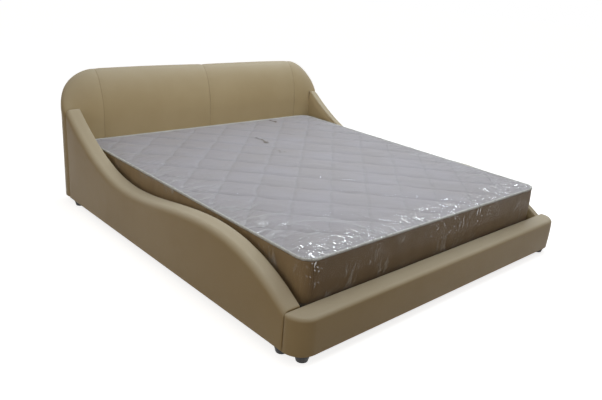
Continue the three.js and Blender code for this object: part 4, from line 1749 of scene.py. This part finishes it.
@dataclass
class Footboard(Cover):
    """The low padded footboard, with its two big rounded corners."""

    corner: float = 0.090
    edge: float = 0.017
    pocket_edge: float = 0.0005
    inner_share: float = 0.15
    outer_pad: float = 0.0157
    inner_pad: float = 0.0077
    top_pad: float = 0.0157
    front_steps: int = 190
    corner_steps: int = 22
    face_steps: int = 14
    edge_steps: int = 9
    top_steps: int = 12
    front_swell: float = 0.0026
    top_swell: float = 0.0016
    fold_x: float = -0.805
    fold_depth: float = 0.0016
    corner_tuck: float = 0.0030

    def __post_init__(self) -> None:
        """Take the footboard's size from its packed cover."""
        self.low, self.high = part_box("footboard_cover")

    def plan(self, inset: float, back_inset: float) -> Pair:
        """Return the front outline and the points straight behind it on the inner edge.

        Args:
            inset: How far inside the cover's outline the front runs.
            back_inset: How far inside it the inner edge runs.

        Returns:
            The two rows of points as x and y.
        """
        low, high = self.low, self.high
        radius = self.corner - inset
        centre_x, centre_y = high.x - self.corner, low.y + self.corner
        angles = np.linspace(math.pi, 1.5 * math.pi, self.corner_steps)
        arc = np.stack([radius * np.cos(angles) - centre_x, centre_y + radius * np.sin(angles)], 1)
        mid = np.linspace(-centre_x, centre_x, self.front_steps)[1:-1]
        front = np.stack([mid, np.full_like(mid, low.y + inset)], 1)
        start = np.array([[low.x + inset, high.y - back_inset]])
        half = np.concatenate([start, arc])
        outline = np.concatenate([half, front, (half * [-1.0, 1.0])[::-1]])
        behind = np.stack([outline[:, 0], np.full(len(outline), high.y - back_inset)], 1)
        return outline, behind

    def grids(self, pocket: bool) -> list[Array]:
        """Return one grid of sections up the front, over the top and down the inner face.

        Args:
            pocket: Whether it is of the pocket round the board instead of the cover.

        Returns:
            Sections by points by x, y and z.
        """
        top, pad_out, pad_in, edge = self.high.z, 0.0, 0.0, self.edge
        if pocket:
            top, pad_out, pad_in, edge = top - self.top_pad, self.outer_pad, self.inner_pad, self.pocket_edge
        turn = quarter_turn(self.edge_steps)
        levels = [(z, 0.0) for z in np.linspace(self.low.z, top - edge, self.face_steps)]
        levels += [(top - edge + edge * math.sin(t), edge * (1 - math.cos(t))) for t in turn[1:]]
        rise, fall = [], []
        for z, inset in levels:
            outline, behind = self.plan(pad_out + inset, pad_in + inset * self.inner_share)
            rise.append(np.column_stack([outline, np.full(len(outline), z)]))
            fall.append(np.column_stack([behind, np.full(len(behind), z)]))
        shares = np.linspace(0.0, 1.0, self.top_steps)[1:-1]
        over = [rise[-1] + (fall[-1] - rise[-1]) * share for share in shares]
        return [np.stack([*rise, *over, *reversed(fall)], 1)]

    def relief(self, points: Array) -> Pair:
        """Shape the leather over its foam.

        Args:
            points: The places on the cover.

        Returns:
            How far the leather stands out at each point, and how much painted shade its fold gets.
        """
        low, high = self.low, self.high
        x, y, z = points.T
        front = smooth_step(y, low.y + 0.05, low.y)
        middle = np.clip((z - low.z) / (high.z - low.z), 0.0, 1.0)
        push = self.front_swell * front * np.sin(middle * math.pi)
        on_top = smooth_step(z, high.z - 0.006, high.z)
        depth = np.clip((y - low.y) / (high.y - low.y), 0.0, 1.0)
        push += self.top_swell * on_top * np.sin(depth * math.pi)
        push += 0.0009 * soft_noise(points, 0.22, 21) + 0.0003 * soft_noise(points, 0.05, 22)
        pinch = 0.5 * (x - self.fold_x) + (y - low.y - 0.045)
        fold = hump(pinch, 0.006) * hump(x - self.fold_x, 0.030) * on_top
        push -= self.fold_depth * fold
        ends = smooth_step(np.abs(x), high.x - 0.004, high.x)
        push -= self.corner_tuck * ends * smooth_step(y, high.y - 0.004, high.y)
        push *= smooth_step(z, low.z, low.z + 0.015)
        hidden = smooth_step(y, high.y - 0.01, high.y - 0.004) * (z < high.z - 0.02)
        push = np.where(push > 0, push * (1.0 - hidden), push)
        # The second value paints shade into the fold.
        return push, 0.25 * fold

    def build(self, leather: Material) -> None:
        """Make the footboard's cover.

        Args:
            leather: Its finish.
        """
        cover = self.pad("footboard_leather", (0.0, 0.0, 1.0), False, leather)
        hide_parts("footboard_cover")


# Mattress.


@dataclass
class Mattress:
    """The mattress: a diamond-quilted top, satin borders, bound edges and clear film over all."""

    corner: float = 0.072
    quilt_grid: tuple[int, int] = (232, 208)
    first_u: float = -0.030
    first_v: float = -0.470
    puff: float = 0.0100
    groove: float = 0.0052
    faint: float = 0.68
    roundness: float = 0.42
    pull: float = 0.0036
    sunk: float = 0.0035
    tape: float = 0.0065
    tape_inset: float = 0.008
    tape_under: float = 0.001
    tape_sides: int = 15
    border_plan: tuple[int, float] = (10, 0.012)
    tape_plan: tuple[int, float] = (12, 0.010)
    border_rows: int = 26
    hem_inset: float = 0.0133
    hem_step: float = 0.0093
    wall_inset: float = 0.0044
    wall_swell: float = 0.0040
    lining: float = 0.0135
    ledge: tuple[float, float] = (0.10, 0.0063)
    deepest_ring: float = 0.06
    clear: float = 0.0003
    film_grid: tuple[int, int] = (236, 212)
    film_gap: float = 0.0018
    film_bend: float = 0.012
    film_rest: float = 0.030
    film_rows: tuple[int, int] = (8, 30)
    milk: float = 0.003
    # Where the painted glints cluster along the foot edge on top, and low on the foot wall: middles and
    # widths across the bed.
    gathers: tuple[tuple[float, float], ...] = (
        (-0.76, 0.09), (-0.56, 0.07), (-0.13, 0.15), (0.14, 0.10), (0.46, 0.13), (0.71, 0.15),
    )
    tucks: tuple[tuple[float, float], ...] = ((-0.86, 0.07), (-0.50, 0.05), (0.0, 0.18), (0.34, 0.18))

    def __post_init__(self) -> None:
        """Take the mattress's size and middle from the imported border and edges."""
        low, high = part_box("mattress_border")
        self.middle = (low + high) / 2
        self.half = (high - low) / 2
        self.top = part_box("mattress_piping_top")[1].z
        self.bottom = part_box("mattress_piping_bottom")[0].z

    def plan(self, inset: float, per_corner: int, step: float) -> Pair:
        """Return a ring round the mattress at an inset, with its outward directions.

        Args:
            inset: How far inside the widest outline it runs.
            per_corner: Steps round each corner.
            step: The spacing along the straights.

        Returns:
            The ring's x and y, and the outward x and y.
        """
        centre_x, centre_y = self.half.x - self.corner, self.half.y - self.corner
        radius = self.corner - inset
        places, outs = [], []
        for i, (sx, sy) in enumerate([(1, 1), (-1, 1), (-1, -1), (1, -1)]):
            angles = i * math.pi / 2 + quarter_turn(per_corner + 1)
            out = np.stack([np.cos(angles), np.sin(angles)], 1)
            arc = np.array([sx * centre_x, sy * centre_y]) + radius * out
            length = 2 * (centre_x if i % 2 == 0 else centre_y)
            count = max(2, round(length / step))
            walk = np.linspace(0.0, 1.0, count + 1)[1:-1, None]
            heading = np.array([-out[-1, 1], out[-1, 0]])
            straight = arc[-1] + heading * length * walk
            places += [arc, straight]
            outs += [out, np.repeat(out[-1:], len(straight), 0)]
        ring = np.concatenate(places) + [self.middle.x, self.middle.y]
        return ring, np.concatenate(outs)

    def rounded(self, u: Array, v: Array, inset: float) -> Array:
        """Return where a square's points go on a rectangle with rounded corners.

        Args:
            u: The points' first coordinates, from -1 to 1.
            v: Their second ones.
            inset: How far inside the mattress's outline the rectangle is.

        Returns:
            The points as x and y from the mattress's middle.
        """
        wide, long = self.half.x - inset, self.half.y - inset
        radius = self.corner - inset
        x, y = u * wide, v * long
        over_x, over_y = np.abs(x) - (wide - radius), np.abs(y) - (long - radius)
        corner = (over_x > 0) & (over_y > 0)
        reach = np.maximum(over_x, over_y)
        length = np.hypot(over_x, over_y)
        share = np.where(corner, reach / np.maximum(length, 1e-9), 1.0)
        x = np.where(corner, np.sign(x) * (wide - radius + over_x * share), x)
        y = np.where(corner, np.sign(y) * (long - radius + over_y * share), y)
        return np.stack([x, y], 1)

    def lines(self, flat: Array) -> Pair:
        """Count the sewn lines of both families up to each place.

        Args:
            flat: The places as x and y from the mattress's middle.

        Returns:
            The two counts, whole on the lines themselves.
        """
        x, y = flat.T
        u = (x - y) / math.sqrt(2) + 0.006 * soft_noise(on_plan(x, y), 0.11, 33)
        v = (x + y) / math.sqrt(2) + 0.010 * soft_noise(on_plan(x, y), 0.085, 34)
        count_u, count_v = (u - self.first_u) / QUILT_PITCH, (v - self.first_v) / QUILT_PITCH
        bow_u, bow_v = (np.sin(math.pi * count) ** 2 for count in (count_v, count_u))
        return count_u + 0.03 * bow_u, count_v + 0.07 * bow_v

    def quilting(self, flat: Array, groove: float) -> Pair:
        """Shape the diamonds between the sewn lines, of which one family is fainter.

        Args:
            flat: The places as x and y from the mattress's middle.
            groove: How deep the lines are.

        Returns:
            The height that the quilting adds at each place, and the share of painted shade near the lines.
        """
        gaps = [np.abs(share - np.round(share)) * QUILT_PITCH for share in self.lines(flat)]
        rounds = [np.sin(np.clip(gap / QUILT_PITCH, 0, 0.5) * math.pi) ** self.roundness for gap in gaps]
        pillow = (1.0 - self.faint + self.faint * rounds[0]) * rounds[1]
        lines = [self.faint * hump(gaps[0], 0.006), hump(gaps[1], 0.006)]
        height = self.puff * pillow - groove * np.maximum(*lines)
        # The second value is the share of painted shade near the lines.
        return height, np.maximum(self.faint * hump(gaps[0], 0.004), hump(gaps[1], 0.004))

    def surface(self, flat: Array, groove: float) -> Pair:
        """Shape the whole top, with its crown, lumps and drawn-in edge.

        Args:
            flat: The places as x and y from the mattress's middle.
            groove: How deep the sewn lines are.

        Returns:
            The top's height over its edge at each place, and the share of painted shade near the sewn lines.
        """
        x, y = flat.T
        to_side = np.minimum(self.half.x - np.abs(x), self.half.y - np.abs(y))
        fade = smooth_step(to_side, 0.0, 0.075)
        height, sewn = self.quilting(flat, groove)
        crown = 0.004 * np.cos(x / self.half.x * math.pi / 2) * np.cos(y / self.half.y * math.pi / 2)
        lumps = 0.0016 * soft_noise(on_plan(x, y), 0.16, 31)
        pull = soft_noise(on_plan((x - y) * 0.22, (x + y) * 1.06), 0.075, 32)
        drop = 0.004 * (1.0 - smooth_step(to_side, 0.0, 0.03))
        return fade * (height + crown + lumps + self.pull * pull) - drop, sewn * fade

    def build_quilt(self, cloth: Material) -> None:
        """Make the quilted top as one close grid over a flat underside.

        Args:
            cloth: Its finish.
        """
        rows, columns = self.quilt_grid
        grid_u, grid_v = np.meshgrid(np.linspace(-1.0, 1.0, columns), np.linspace(-1.0, 1.0, rows))
        flat = self.rounded(grid_u.ravel(), grid_v.ravel(), self.tape_inset + self.tape)
        height, sewn = self.surface(flat, self.groove)
        upper = np.column_stack([flat + [self.middle.x, self.middle.y], self.top - self.sunk + height])
        skin = Skin([upper.reshape(rows, columns, 3)])
        under = upper.copy()
        under[:, 2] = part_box("mattress_quilted_top")[0].z
        skin.shell(under)
        skin.turn_out()
        lines_u, lines_v = self.lines(flat)
        made = skin.piece("mattress_quilt", sewn=sewn, lines_u=lines_u, lines_v=lines_v)
        dress(made, cloth, "mattress")
        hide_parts("mattress_quilted_top")

    def build_border(self, satin: Material) -> None:
        """Make the satin border: a wall that swells between its bound edges, open over the core.

        Args:
            satin: Its finish.
        """
        low = self.bottom + 2 * self.tape + self.clear
        high = min(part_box("mattress_border")[1].z, self.top - 2 * self.tape - self.clear)
        profile = [(self.hem_inset, self.bottom)]
        profile += [(self.hem_inset - self.hem_step * t, low) for t in (0.0, 0.5)]
        for share in np.linspace(0.0, 1.0, self.border_rows):
            inset = self.wall_inset - self.wall_swell * math.sin(math.pi * share)
            profile.append((inset, low + (high - low) * share))
        ledge_in, ledge_up = self.ledge
        inner = [(self.lining, high), (self.lining, low + ledge_up), (ledge_in, low + ledge_up)]
        rows = []
        for inset, z in [*profile, *inner]:
            ring, out = self.plan(min(inset, self.deepest_ring), *self.border_plan)
            extra = max(0.0, inset - self.deepest_ring)
            rows.append(np.column_stack([ring - out * extra, np.full(len(ring), z)]))
        grid = np.stack(rows)
        grid = np.concatenate([grid, grid[:, :1]], 1)
        # The wall's first and last rows stay still, where the tapes hold them.
        wall = slice(3, len(profile) - 1)
        flat = grid[wall].reshape(-1, 3)
        _, out = self.plan(0.0, *self.border_plan)
        out = np.concatenate([out, out[:1]])
        sway = 0.0011 * soft_noise(flat * [1.0, 1.0, 0.3], 0.06, 41) + 0.0010 * soft_noise(flat, 0.2, 42)
        count = len(grid[wall])
        sway = sway.reshape(count, -1) * np.sin(np.linspace(0.0, math.pi, count))[:, None]
        grid[wall, :, :2] += out[None] * sway[:, :, None]
        skin = Skin([grid])
        skin.weld()
        made = skin.piece("mattress_border_satin")
        close_ends(made)
        dress(made, satin, "mattress")
        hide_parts("mattress_border")

    def build_tape(self, name: str, height: float, tape: Material) -> None:
        """Bind one edge with a tube of tape.

        Args:
            name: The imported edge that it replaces.
            height: The height of the tube's middle.
            tape: Its finish.
        """
        inset = self.tape_inset if height > self.middle.z else self.tape_inset + self.tape_under
        ring, out = self.plan(inset, *self.tape_plan)
        angle = np.linspace(0.0, 2 * math.pi, self.tape_sides)
        steps = np.linalg.norm(np.diff(ring, axis=0, append=ring[:1]), axis=1)
        along = np.concatenate([[0.0], np.cumsum(steps)])
        ring, out = np.concatenate([ring, ring[:1]]), np.concatenate([out, out[:1]])
        across = self.tape * np.cos(angle)
        grid = np.stack([
            ring[:, 0, None] + out[:, 0, None] * across,
            ring[:, 1, None] + out[:, 1, None] * across,
            height + self.tape * np.sin(angle) + 0.0 * ring[:, :1],
        ], 2)
        skin = Skin([grid])
        along, around = skin.weld(np.repeat(along, self.tape_sides), np.tile(angle, len(along)))
        skin.turn_out()
        made = skin.piece(f"{name}_tape", along=along, around=around)
        dress(made, tape, "mattress")
        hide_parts(name)

    def film_skirt(self, edge: Array) -> Array:
        """Return the film from the top's edge round the bend and down the sides.

        Args:
            edge: The ring where the top ends, as x, y and z from the mattress's middle.

        Returns:
            The skirt's grid, one row to a level.
        """
        bend, gap = self.film_bend, self.film_gap
        over = np.abs(edge[:, :2]) - [self.half.x - self.corner, self.half.y - self.corner]
        over = np.where((over > 0).all(1, keepdims=True), over, (over >= over.max(1, keepdims=True)) * 1.0)
        out = np.sign(edge[:, :2]) * over / np.linalg.norm(over, axis=1, keepdims=True)
        skirt = [edge]
        for turn in quarter_turn(self.film_rows[0])[1:]:
            z = np.full(len(edge), self.top + gap - bend * (1.0 - math.cos(turn)))
            skirt.append(np.column_stack([edge[:, :2] + out * (bend + gap) * math.sin(turn), z]))
        wall = skirt[-1][:, :2]
        for z in np.linspace(self.top + gap - bend, self.bottom + 0.001, self.film_rows[1])[1:]:
            skirt.append(np.column_stack([wall, np.full(len(edge), z)]))
        return np.stack(skirt)[:, ::-1]

    def build_film(self, film: Material) -> None:
        """Wrap the mattress in one sheet of clear film, pulled into creases along its edges.

        Args:
            film: Its finish.
        """
        rows, columns = self.film_grid
        grid_u, grid_v = np.meshgrid(crowded(columns), crowded(rows))
        flat = self.rounded(grid_u.ravel(), grid_v.ravel(), self.film_bend)
        height, _ = self.surface(flat, 0.0)
        to_side = np.minimum(self.half.x - np.abs(flat[:, 0]), self.half.y - np.abs(flat[:, 1]))
        rest = smooth_step(to_side, self.film_bend, self.film_rest)
        tall = self.top + self.film_gap + rest * (height - self.sunk)
        top = np.column_stack([flat, tall]).reshape(rows, columns, 3)
        edge = np.concatenate([top[0, :-1], top[:-1, -1], top[-1, :0:-1], top[::-1, 0]])
        skin = Skin([top, self.film_skirt(edge)])
        skin.points[:, :2] += [self.middle.x, self.middle.y]
        rise, crinkle, fleck = self.film_creases(skin.points)
        # The veil along the creases is partly the whitening of creased film and partly a painted sheen.
        milky = np.clip(rise / self.milk, 0.0, 1.0)
        rise, milky, crinkle, fleck = skin.weld(rise, milky, crinkle, fleck)
        skin.push(rise)
        made = skin.piece("mattress_film", milky=milky, crinkle=crinkle, fleck=fleck)
        dress(made, film, "mattress")
        around = float(np.linalg.norm(np.diff(edge, axis=0), axis=1).sum())
        size, deep = 2 * self.half, self.top - self.bottom
        size.x + 2 * deep
        size.y + 2 * deep
        size.x * size.y + around * deep

    def film_creases(self, points: Array) -> tuple[Array, Array, Array]:
        """Pull the film into creases from its edges, down its walls and in arcs round its left foot corner.

        Args:
            points: The places on the smooth film.

        Returns:
            How far it stands off at each point, how finely it is crinkled, and how much painted glint it has.
        """
        x, y, z = (points - [self.middle.x, self.middle.y, 0.0]).T
        depth = self.top - z
        on_top = smooth_step(depth, 0.012, 0.002)
        wall = 1.0 - on_top
        to_foot, to_left, to_right = y + self.half.y, x + self.half.x, self.half.x - x

        foot = hump(np.maximum(to_foot - 0.06, 0.0), 0.075) * on_top
        corner = hump(np.hypot(to_foot, to_left), 0.16) + hump(np.hypot(to_foot, to_right), 0.26)
        drift = soft_noise(on_plan(x, y * 0.4), 0.16, 53)
        crinkle = foot * (0.70 + 0.30 * smooth_step(drift, -0.25, 0.15)) + 0.5 * corner * on_top

        from_sides = ridges(soft_noise(on_plan(x * 0.16, y), 0.030, 51), 3.6)
        from_foot = ridges(soft_noise(on_plan(x, y * 0.30), 0.026, 52), 4.5)
        sides = hump(np.maximum(np.minimum(to_left, to_right), 0.0), 0.26)
        near_foot = hump(np.maximum(to_foot, 0.0), 0.11)
        rise = on_top * (0.0021 * from_sides * sides + 0.0020 * from_foot * near_foot)

        reach = np.hypot(to_foot, to_left * 0.8)
        turning = np.arctan2(to_foot, to_left)
        arcs = ridges(soft_noise(on_plan(reach, turning * 0.10), 0.055, 56), 4.0)
        rise += on_top * 0.0015 * (arcs * hump(reach - 0.34, 0.20))

        streak = ridges(soft_noise(on_plan(x + y - 0.3 * z, z * 0.22), 0.021, 54), 3.4)
        patch = smooth_step(soft_noise(points, 0.13, 55), -0.1, 0.25)
        rise += 0.0019 * streak * wall * (0.08 + 0.92 * patch)
        crinkle = crinkle + wall * (0.02 + 0.22 * patch * smooth_step(depth, 0.16, 0.02))

        # Painted glints, in clusters along the foot edge on top and low down the foot wall.
        gathers = sum(hump(x - middle, width) for middle, width in self.gathers)
        band = on_top * hump(np.maximum(to_foot - 0.09, 0.0), 0.05)
        fleck = band * gathers * smooth_step(to_foot, 0.0, 0.02)
        tucks = sum(hump(x - middle, width) for middle, width in self.tucks)
        fleck += 0.23 * wall * tucks * smooth_step(depth, 0.19, 0.06) * hump(to_foot, 0.03)
        return rise + self.clear, np.clip(crinkle, 0.0, 1.0), np.clip(fleck, 0.0, 1.0)

    def build(
        self,
        cloth: Material,
        satin: Material,
        tapes: tuple[Material, Material],
        film: Material,
    ) -> None:
        """Make all the mattress's pieces.

        Args:
            cloth: The quilted top's finish.
            satin: The border's finish.
            tapes: The top and the bottom edge's finishes.
            film: The wrapping's finish.
        """
        self.build_quilt(cloth)
        self.build_border(satin)
        self.build_tape("mattress_piping_top", self.top - self.tape, tapes[0])
        self.build_tape("mattress_piping_bottom", self.bottom + self.tape, tapes[1])
        self.build_film(film)


def close_ends(made: Piece) -> None:
    """Close a mesh's open rings with flat faces and turn its faces outwards.

    Args:
        made: The mesh's object.
    """
    select_only(made)
    bpy.ops.object.mode_set(mode="EDIT")
    bpy.context.tool_settings.mesh_select_mode = (True, False, False)
    bpy.ops.mesh.select_all(action="DESELECT")
    bpy.ops.mesh.select_non_manifold(extend=False, use_wire=False, use_multi_face=False, use_verts=False)
    bpy.ops.mesh.fill_holes(sides=0)
    bpy.ops.mesh.select_all(action="SELECT")
    bpy.ops.mesh.normals_make_consistent(inside=False)
    bpy.ops.object.mode_set(mode="OBJECT")
    smooth_by_angle(made, SOFT_EDGE)


# Base, feet and hidden pieces.


@dataclass
class Fittings:
    """What carries the bed and the mattress: feet, ledgers, brackets and the slatted base.

    The slat holders are the top of the base's frame. The legs have none, so theirs would start above all.
    """

    holder_height: float = 0.020
    above_all: float = 1.0

    def finishes(self) -> dict[str, Material]:
        """Lay out the finish of each kind of node that stays in view.

        Returns:
            The finishes by how the nodes' names start, of which the first that fits counts.
        """
        plastic = MouldedPlastic().material()
        zinc = Zinc().material()
        chips = ChipBoard().material()
        ledger_y = Timber("ledger_pine_y", Run.ALONG_Y).material()
        ledger_x = Timber("ledger_pine_x", Run.ALONG_X).material()
        beech = Timber("slat_beech", Run.ALONG_X, (0.700, 0.520, 0.320), (0.540, 0.360, 0.195)).material()
        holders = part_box("slat_frame")[1].z - self.holder_height
        return {
            "side_ledger": ledger_y,
            "head_ledger": ledger_x,
            "foot_ledger": ledger_x,
            "foot_": plastic,
            "corner_bracket": zinc,
            "slat_frame": BaseFrame("base_tube_and_holders", holders).material(),
            "slat_": beech,
            "centre_leg": BaseFrame("centre_leg_tube", self.above_all).material(),
            "mattress_core": Foam().material(),
            "headboard_panel": chips,
            "side_rail_board": chips,
            "footboard_board": chips,
        }

    def build(self) -> None:
        """Dress every CAD node that stays in view."""
        finishes = self.finishes()
        for name in frame["nodes"]:
            start = next((start for start in finishes if name.startswith(start)), None)
            if start:
                cover_node(name, finishes[start])


# Studio.


COOL = (0.84, 0.93, 1.0)
WARM = (1.0, 0.92, 0.80)


@dataclass(frozen=True)
class Lamp:
    """A flat lamp: where it hangs, the point that it faces, its length and width, its watts and colour."""

    name: str
    place: Place
    aim: Place
    size: tuple[float, float]
    power: float
    colour: Colour

    def hang(self) -> None:
        """Hang the lamp."""
        data = bpy.data.lights.new(self.name, "AREA")
        data.shape = "RECTANGLE"
        data.size, data.size_y = self.size
        data.energy = self.power
        data.color = self.colour
        made = add_object(self.name, data)
        made.location = self.place
        made.rotation_euler = (Vector(self.aim) - Vector(self.place)).to_track_quat("-Z", "Y").to_euler()


@dataclass
class Studio:
    """The camera at the photograph's place, a pale floor, and soft lamps overhead."""

    eye: Vector = field(default_factory=lambda: Vector((-2.41287, -2.55089, 1.43209)))
    ahead: Vector = field(default_factory=lambda: Vector((0.65141, 0.67703, -0.34247)))
    right: Vector = field(default_factory=lambda: Vector((0.73785, -0.67044, 0.07805)))
    lens: float = 36.887
    shift: tuple[float, float] = (-0.00894, 0.00083)
    sight: float = 60.0
    floor_size: float = 60.0
    floor_glow: float = 0.79
    floor_bounce: Colour = (0.22, 0.16, 0.10)
    floor_seen: Colour = (0.75, 0.75, 0.75)
    ambient: float = 0.32
    air: Colour = (1.0, 0.94, 0.86)
    white: Colour = (1.0, 1.0, 1.0)
    tubes: tuple[Place, ...] = ((1.6, 0.5, 2.9), (2.3, 1.2, 2.8), (1.0, 1.5, 2.9), (2.6, 0.2, 2.7))

    def camera(self) -> None:
        """Place the camera."""
        data = bpy.data.cameras.new("camera")
        data.sensor_width = 36.0
        data.lens = self.lens
        data.shift_x, data.shift_y = self.shift
        data.clip_end = self.sight
        made = add_object("camera", data)
        ahead = self.ahead.normalized()
        up = self.right.cross(ahead).normalized()
        right = ahead.cross(up).normalized()
        turn = Matrix((right, up, -ahead)).transposed()
        made.matrix_world = Matrix.Translation(self.eye) @ turn.to_4x4()
        bpy.context.scene.camera = made

    def floor(self) -> None:
        """Lay the floor, which looks white to the camera and bounces a little warm light."""
        bpy.ops.object.select_all(action="DESELECT")
        bpy.ops.mesh.primitive_plane_add(size=self.floor_size)
        made = bpy.context.object
        made.name = "studio_floor"
        recipe = Recipe("studio_floor")
        seen = recipe.seen()
        colour = recipe.mix(seen, self.floor_bounce, self.floor_seen)
        shader = recipe.node("ShaderNodeBsdfDiffuse", {}, {"Color": colour})
        values = {"Color": (*self.white, 1.0), "Strength": seen * self.floor_glow}
        glow = recipe.node("ShaderNodeEmission", {}, values)
        both = recipe.node("ShaderNodeAddShader", {}, {0: shader, 1: glow})
        recipe.node("ShaderNodeOutputMaterial", {}, {0: both})
        made.data.materials.append(recipe.material)

    def world(self) -> None:
        """Fill the room with even light, white where the camera or a reflection sees it."""
        world = bpy.data.worlds.new("room")
        bpy.context.scene.world = world
        recipe = Recipe("room", world)
        strength = recipe.seen() * (1.0 - self.ambient) + self.ambient
        colour = recipe.mix(recipe.seen(), self.air, self.white)
        light = recipe.node("ShaderNodeBackground", {}, {"Color": colour, "Strength": strength})
        recipe.node("ShaderNodeOutputWorld", {}, {0: light})

    def build(self) -> None:
        """Set the whole studio."""
        self.camera()
        self.floor()
        self.world()
        Lamp("overhead", (-0.10, -0.75, 2.40), (0.15, 0.90, 0.45), (1.7, 1.7), 27.5, COOL).hang()
        for i, place in enumerate(self.tubes):
            Lamp(f"tube_{i}", place, (0.3, -0.6, 0.3), (1.2, 0.09), 8.5, COOL).hang()
        Lamp("side_fill", (-4.5, -1.0, 1.6), (-0.5, 0.0, 0.4), (2.5, 2.5), 14.5, WARM).hang()
        bpy.context.scene.view_settings.view_transform = "Standard"


def main() -> None:
    """Build the bed, sub-assembly by sub-assembly."""
    logging.basicConfig(level=logging.INFO, format="%(name)s: %(message)s")
    Studio().build()
    leather = Leather().material()
    headboard = Headboard()
    headboard.build(leather, Thread().material())
    headboard.build_back(BackCloth().material(), Zinc("staple_wire").material())
    for side in Side:
        SideRail(side).build(leather)
    Footboard().build(leather)
    under_tape = EdgeTape("under_tape", (0.170, 0.130, 0.085), (0.110, 0.085, 0.055))
    tapes = (EdgeTape().material(), under_tape.material())
    Mattress().build(QuiltCloth().material(), BorderCloth().material(), tapes, ClearFilm().material())
    Fittings().build()


if __name__ == "__main__":
    main()
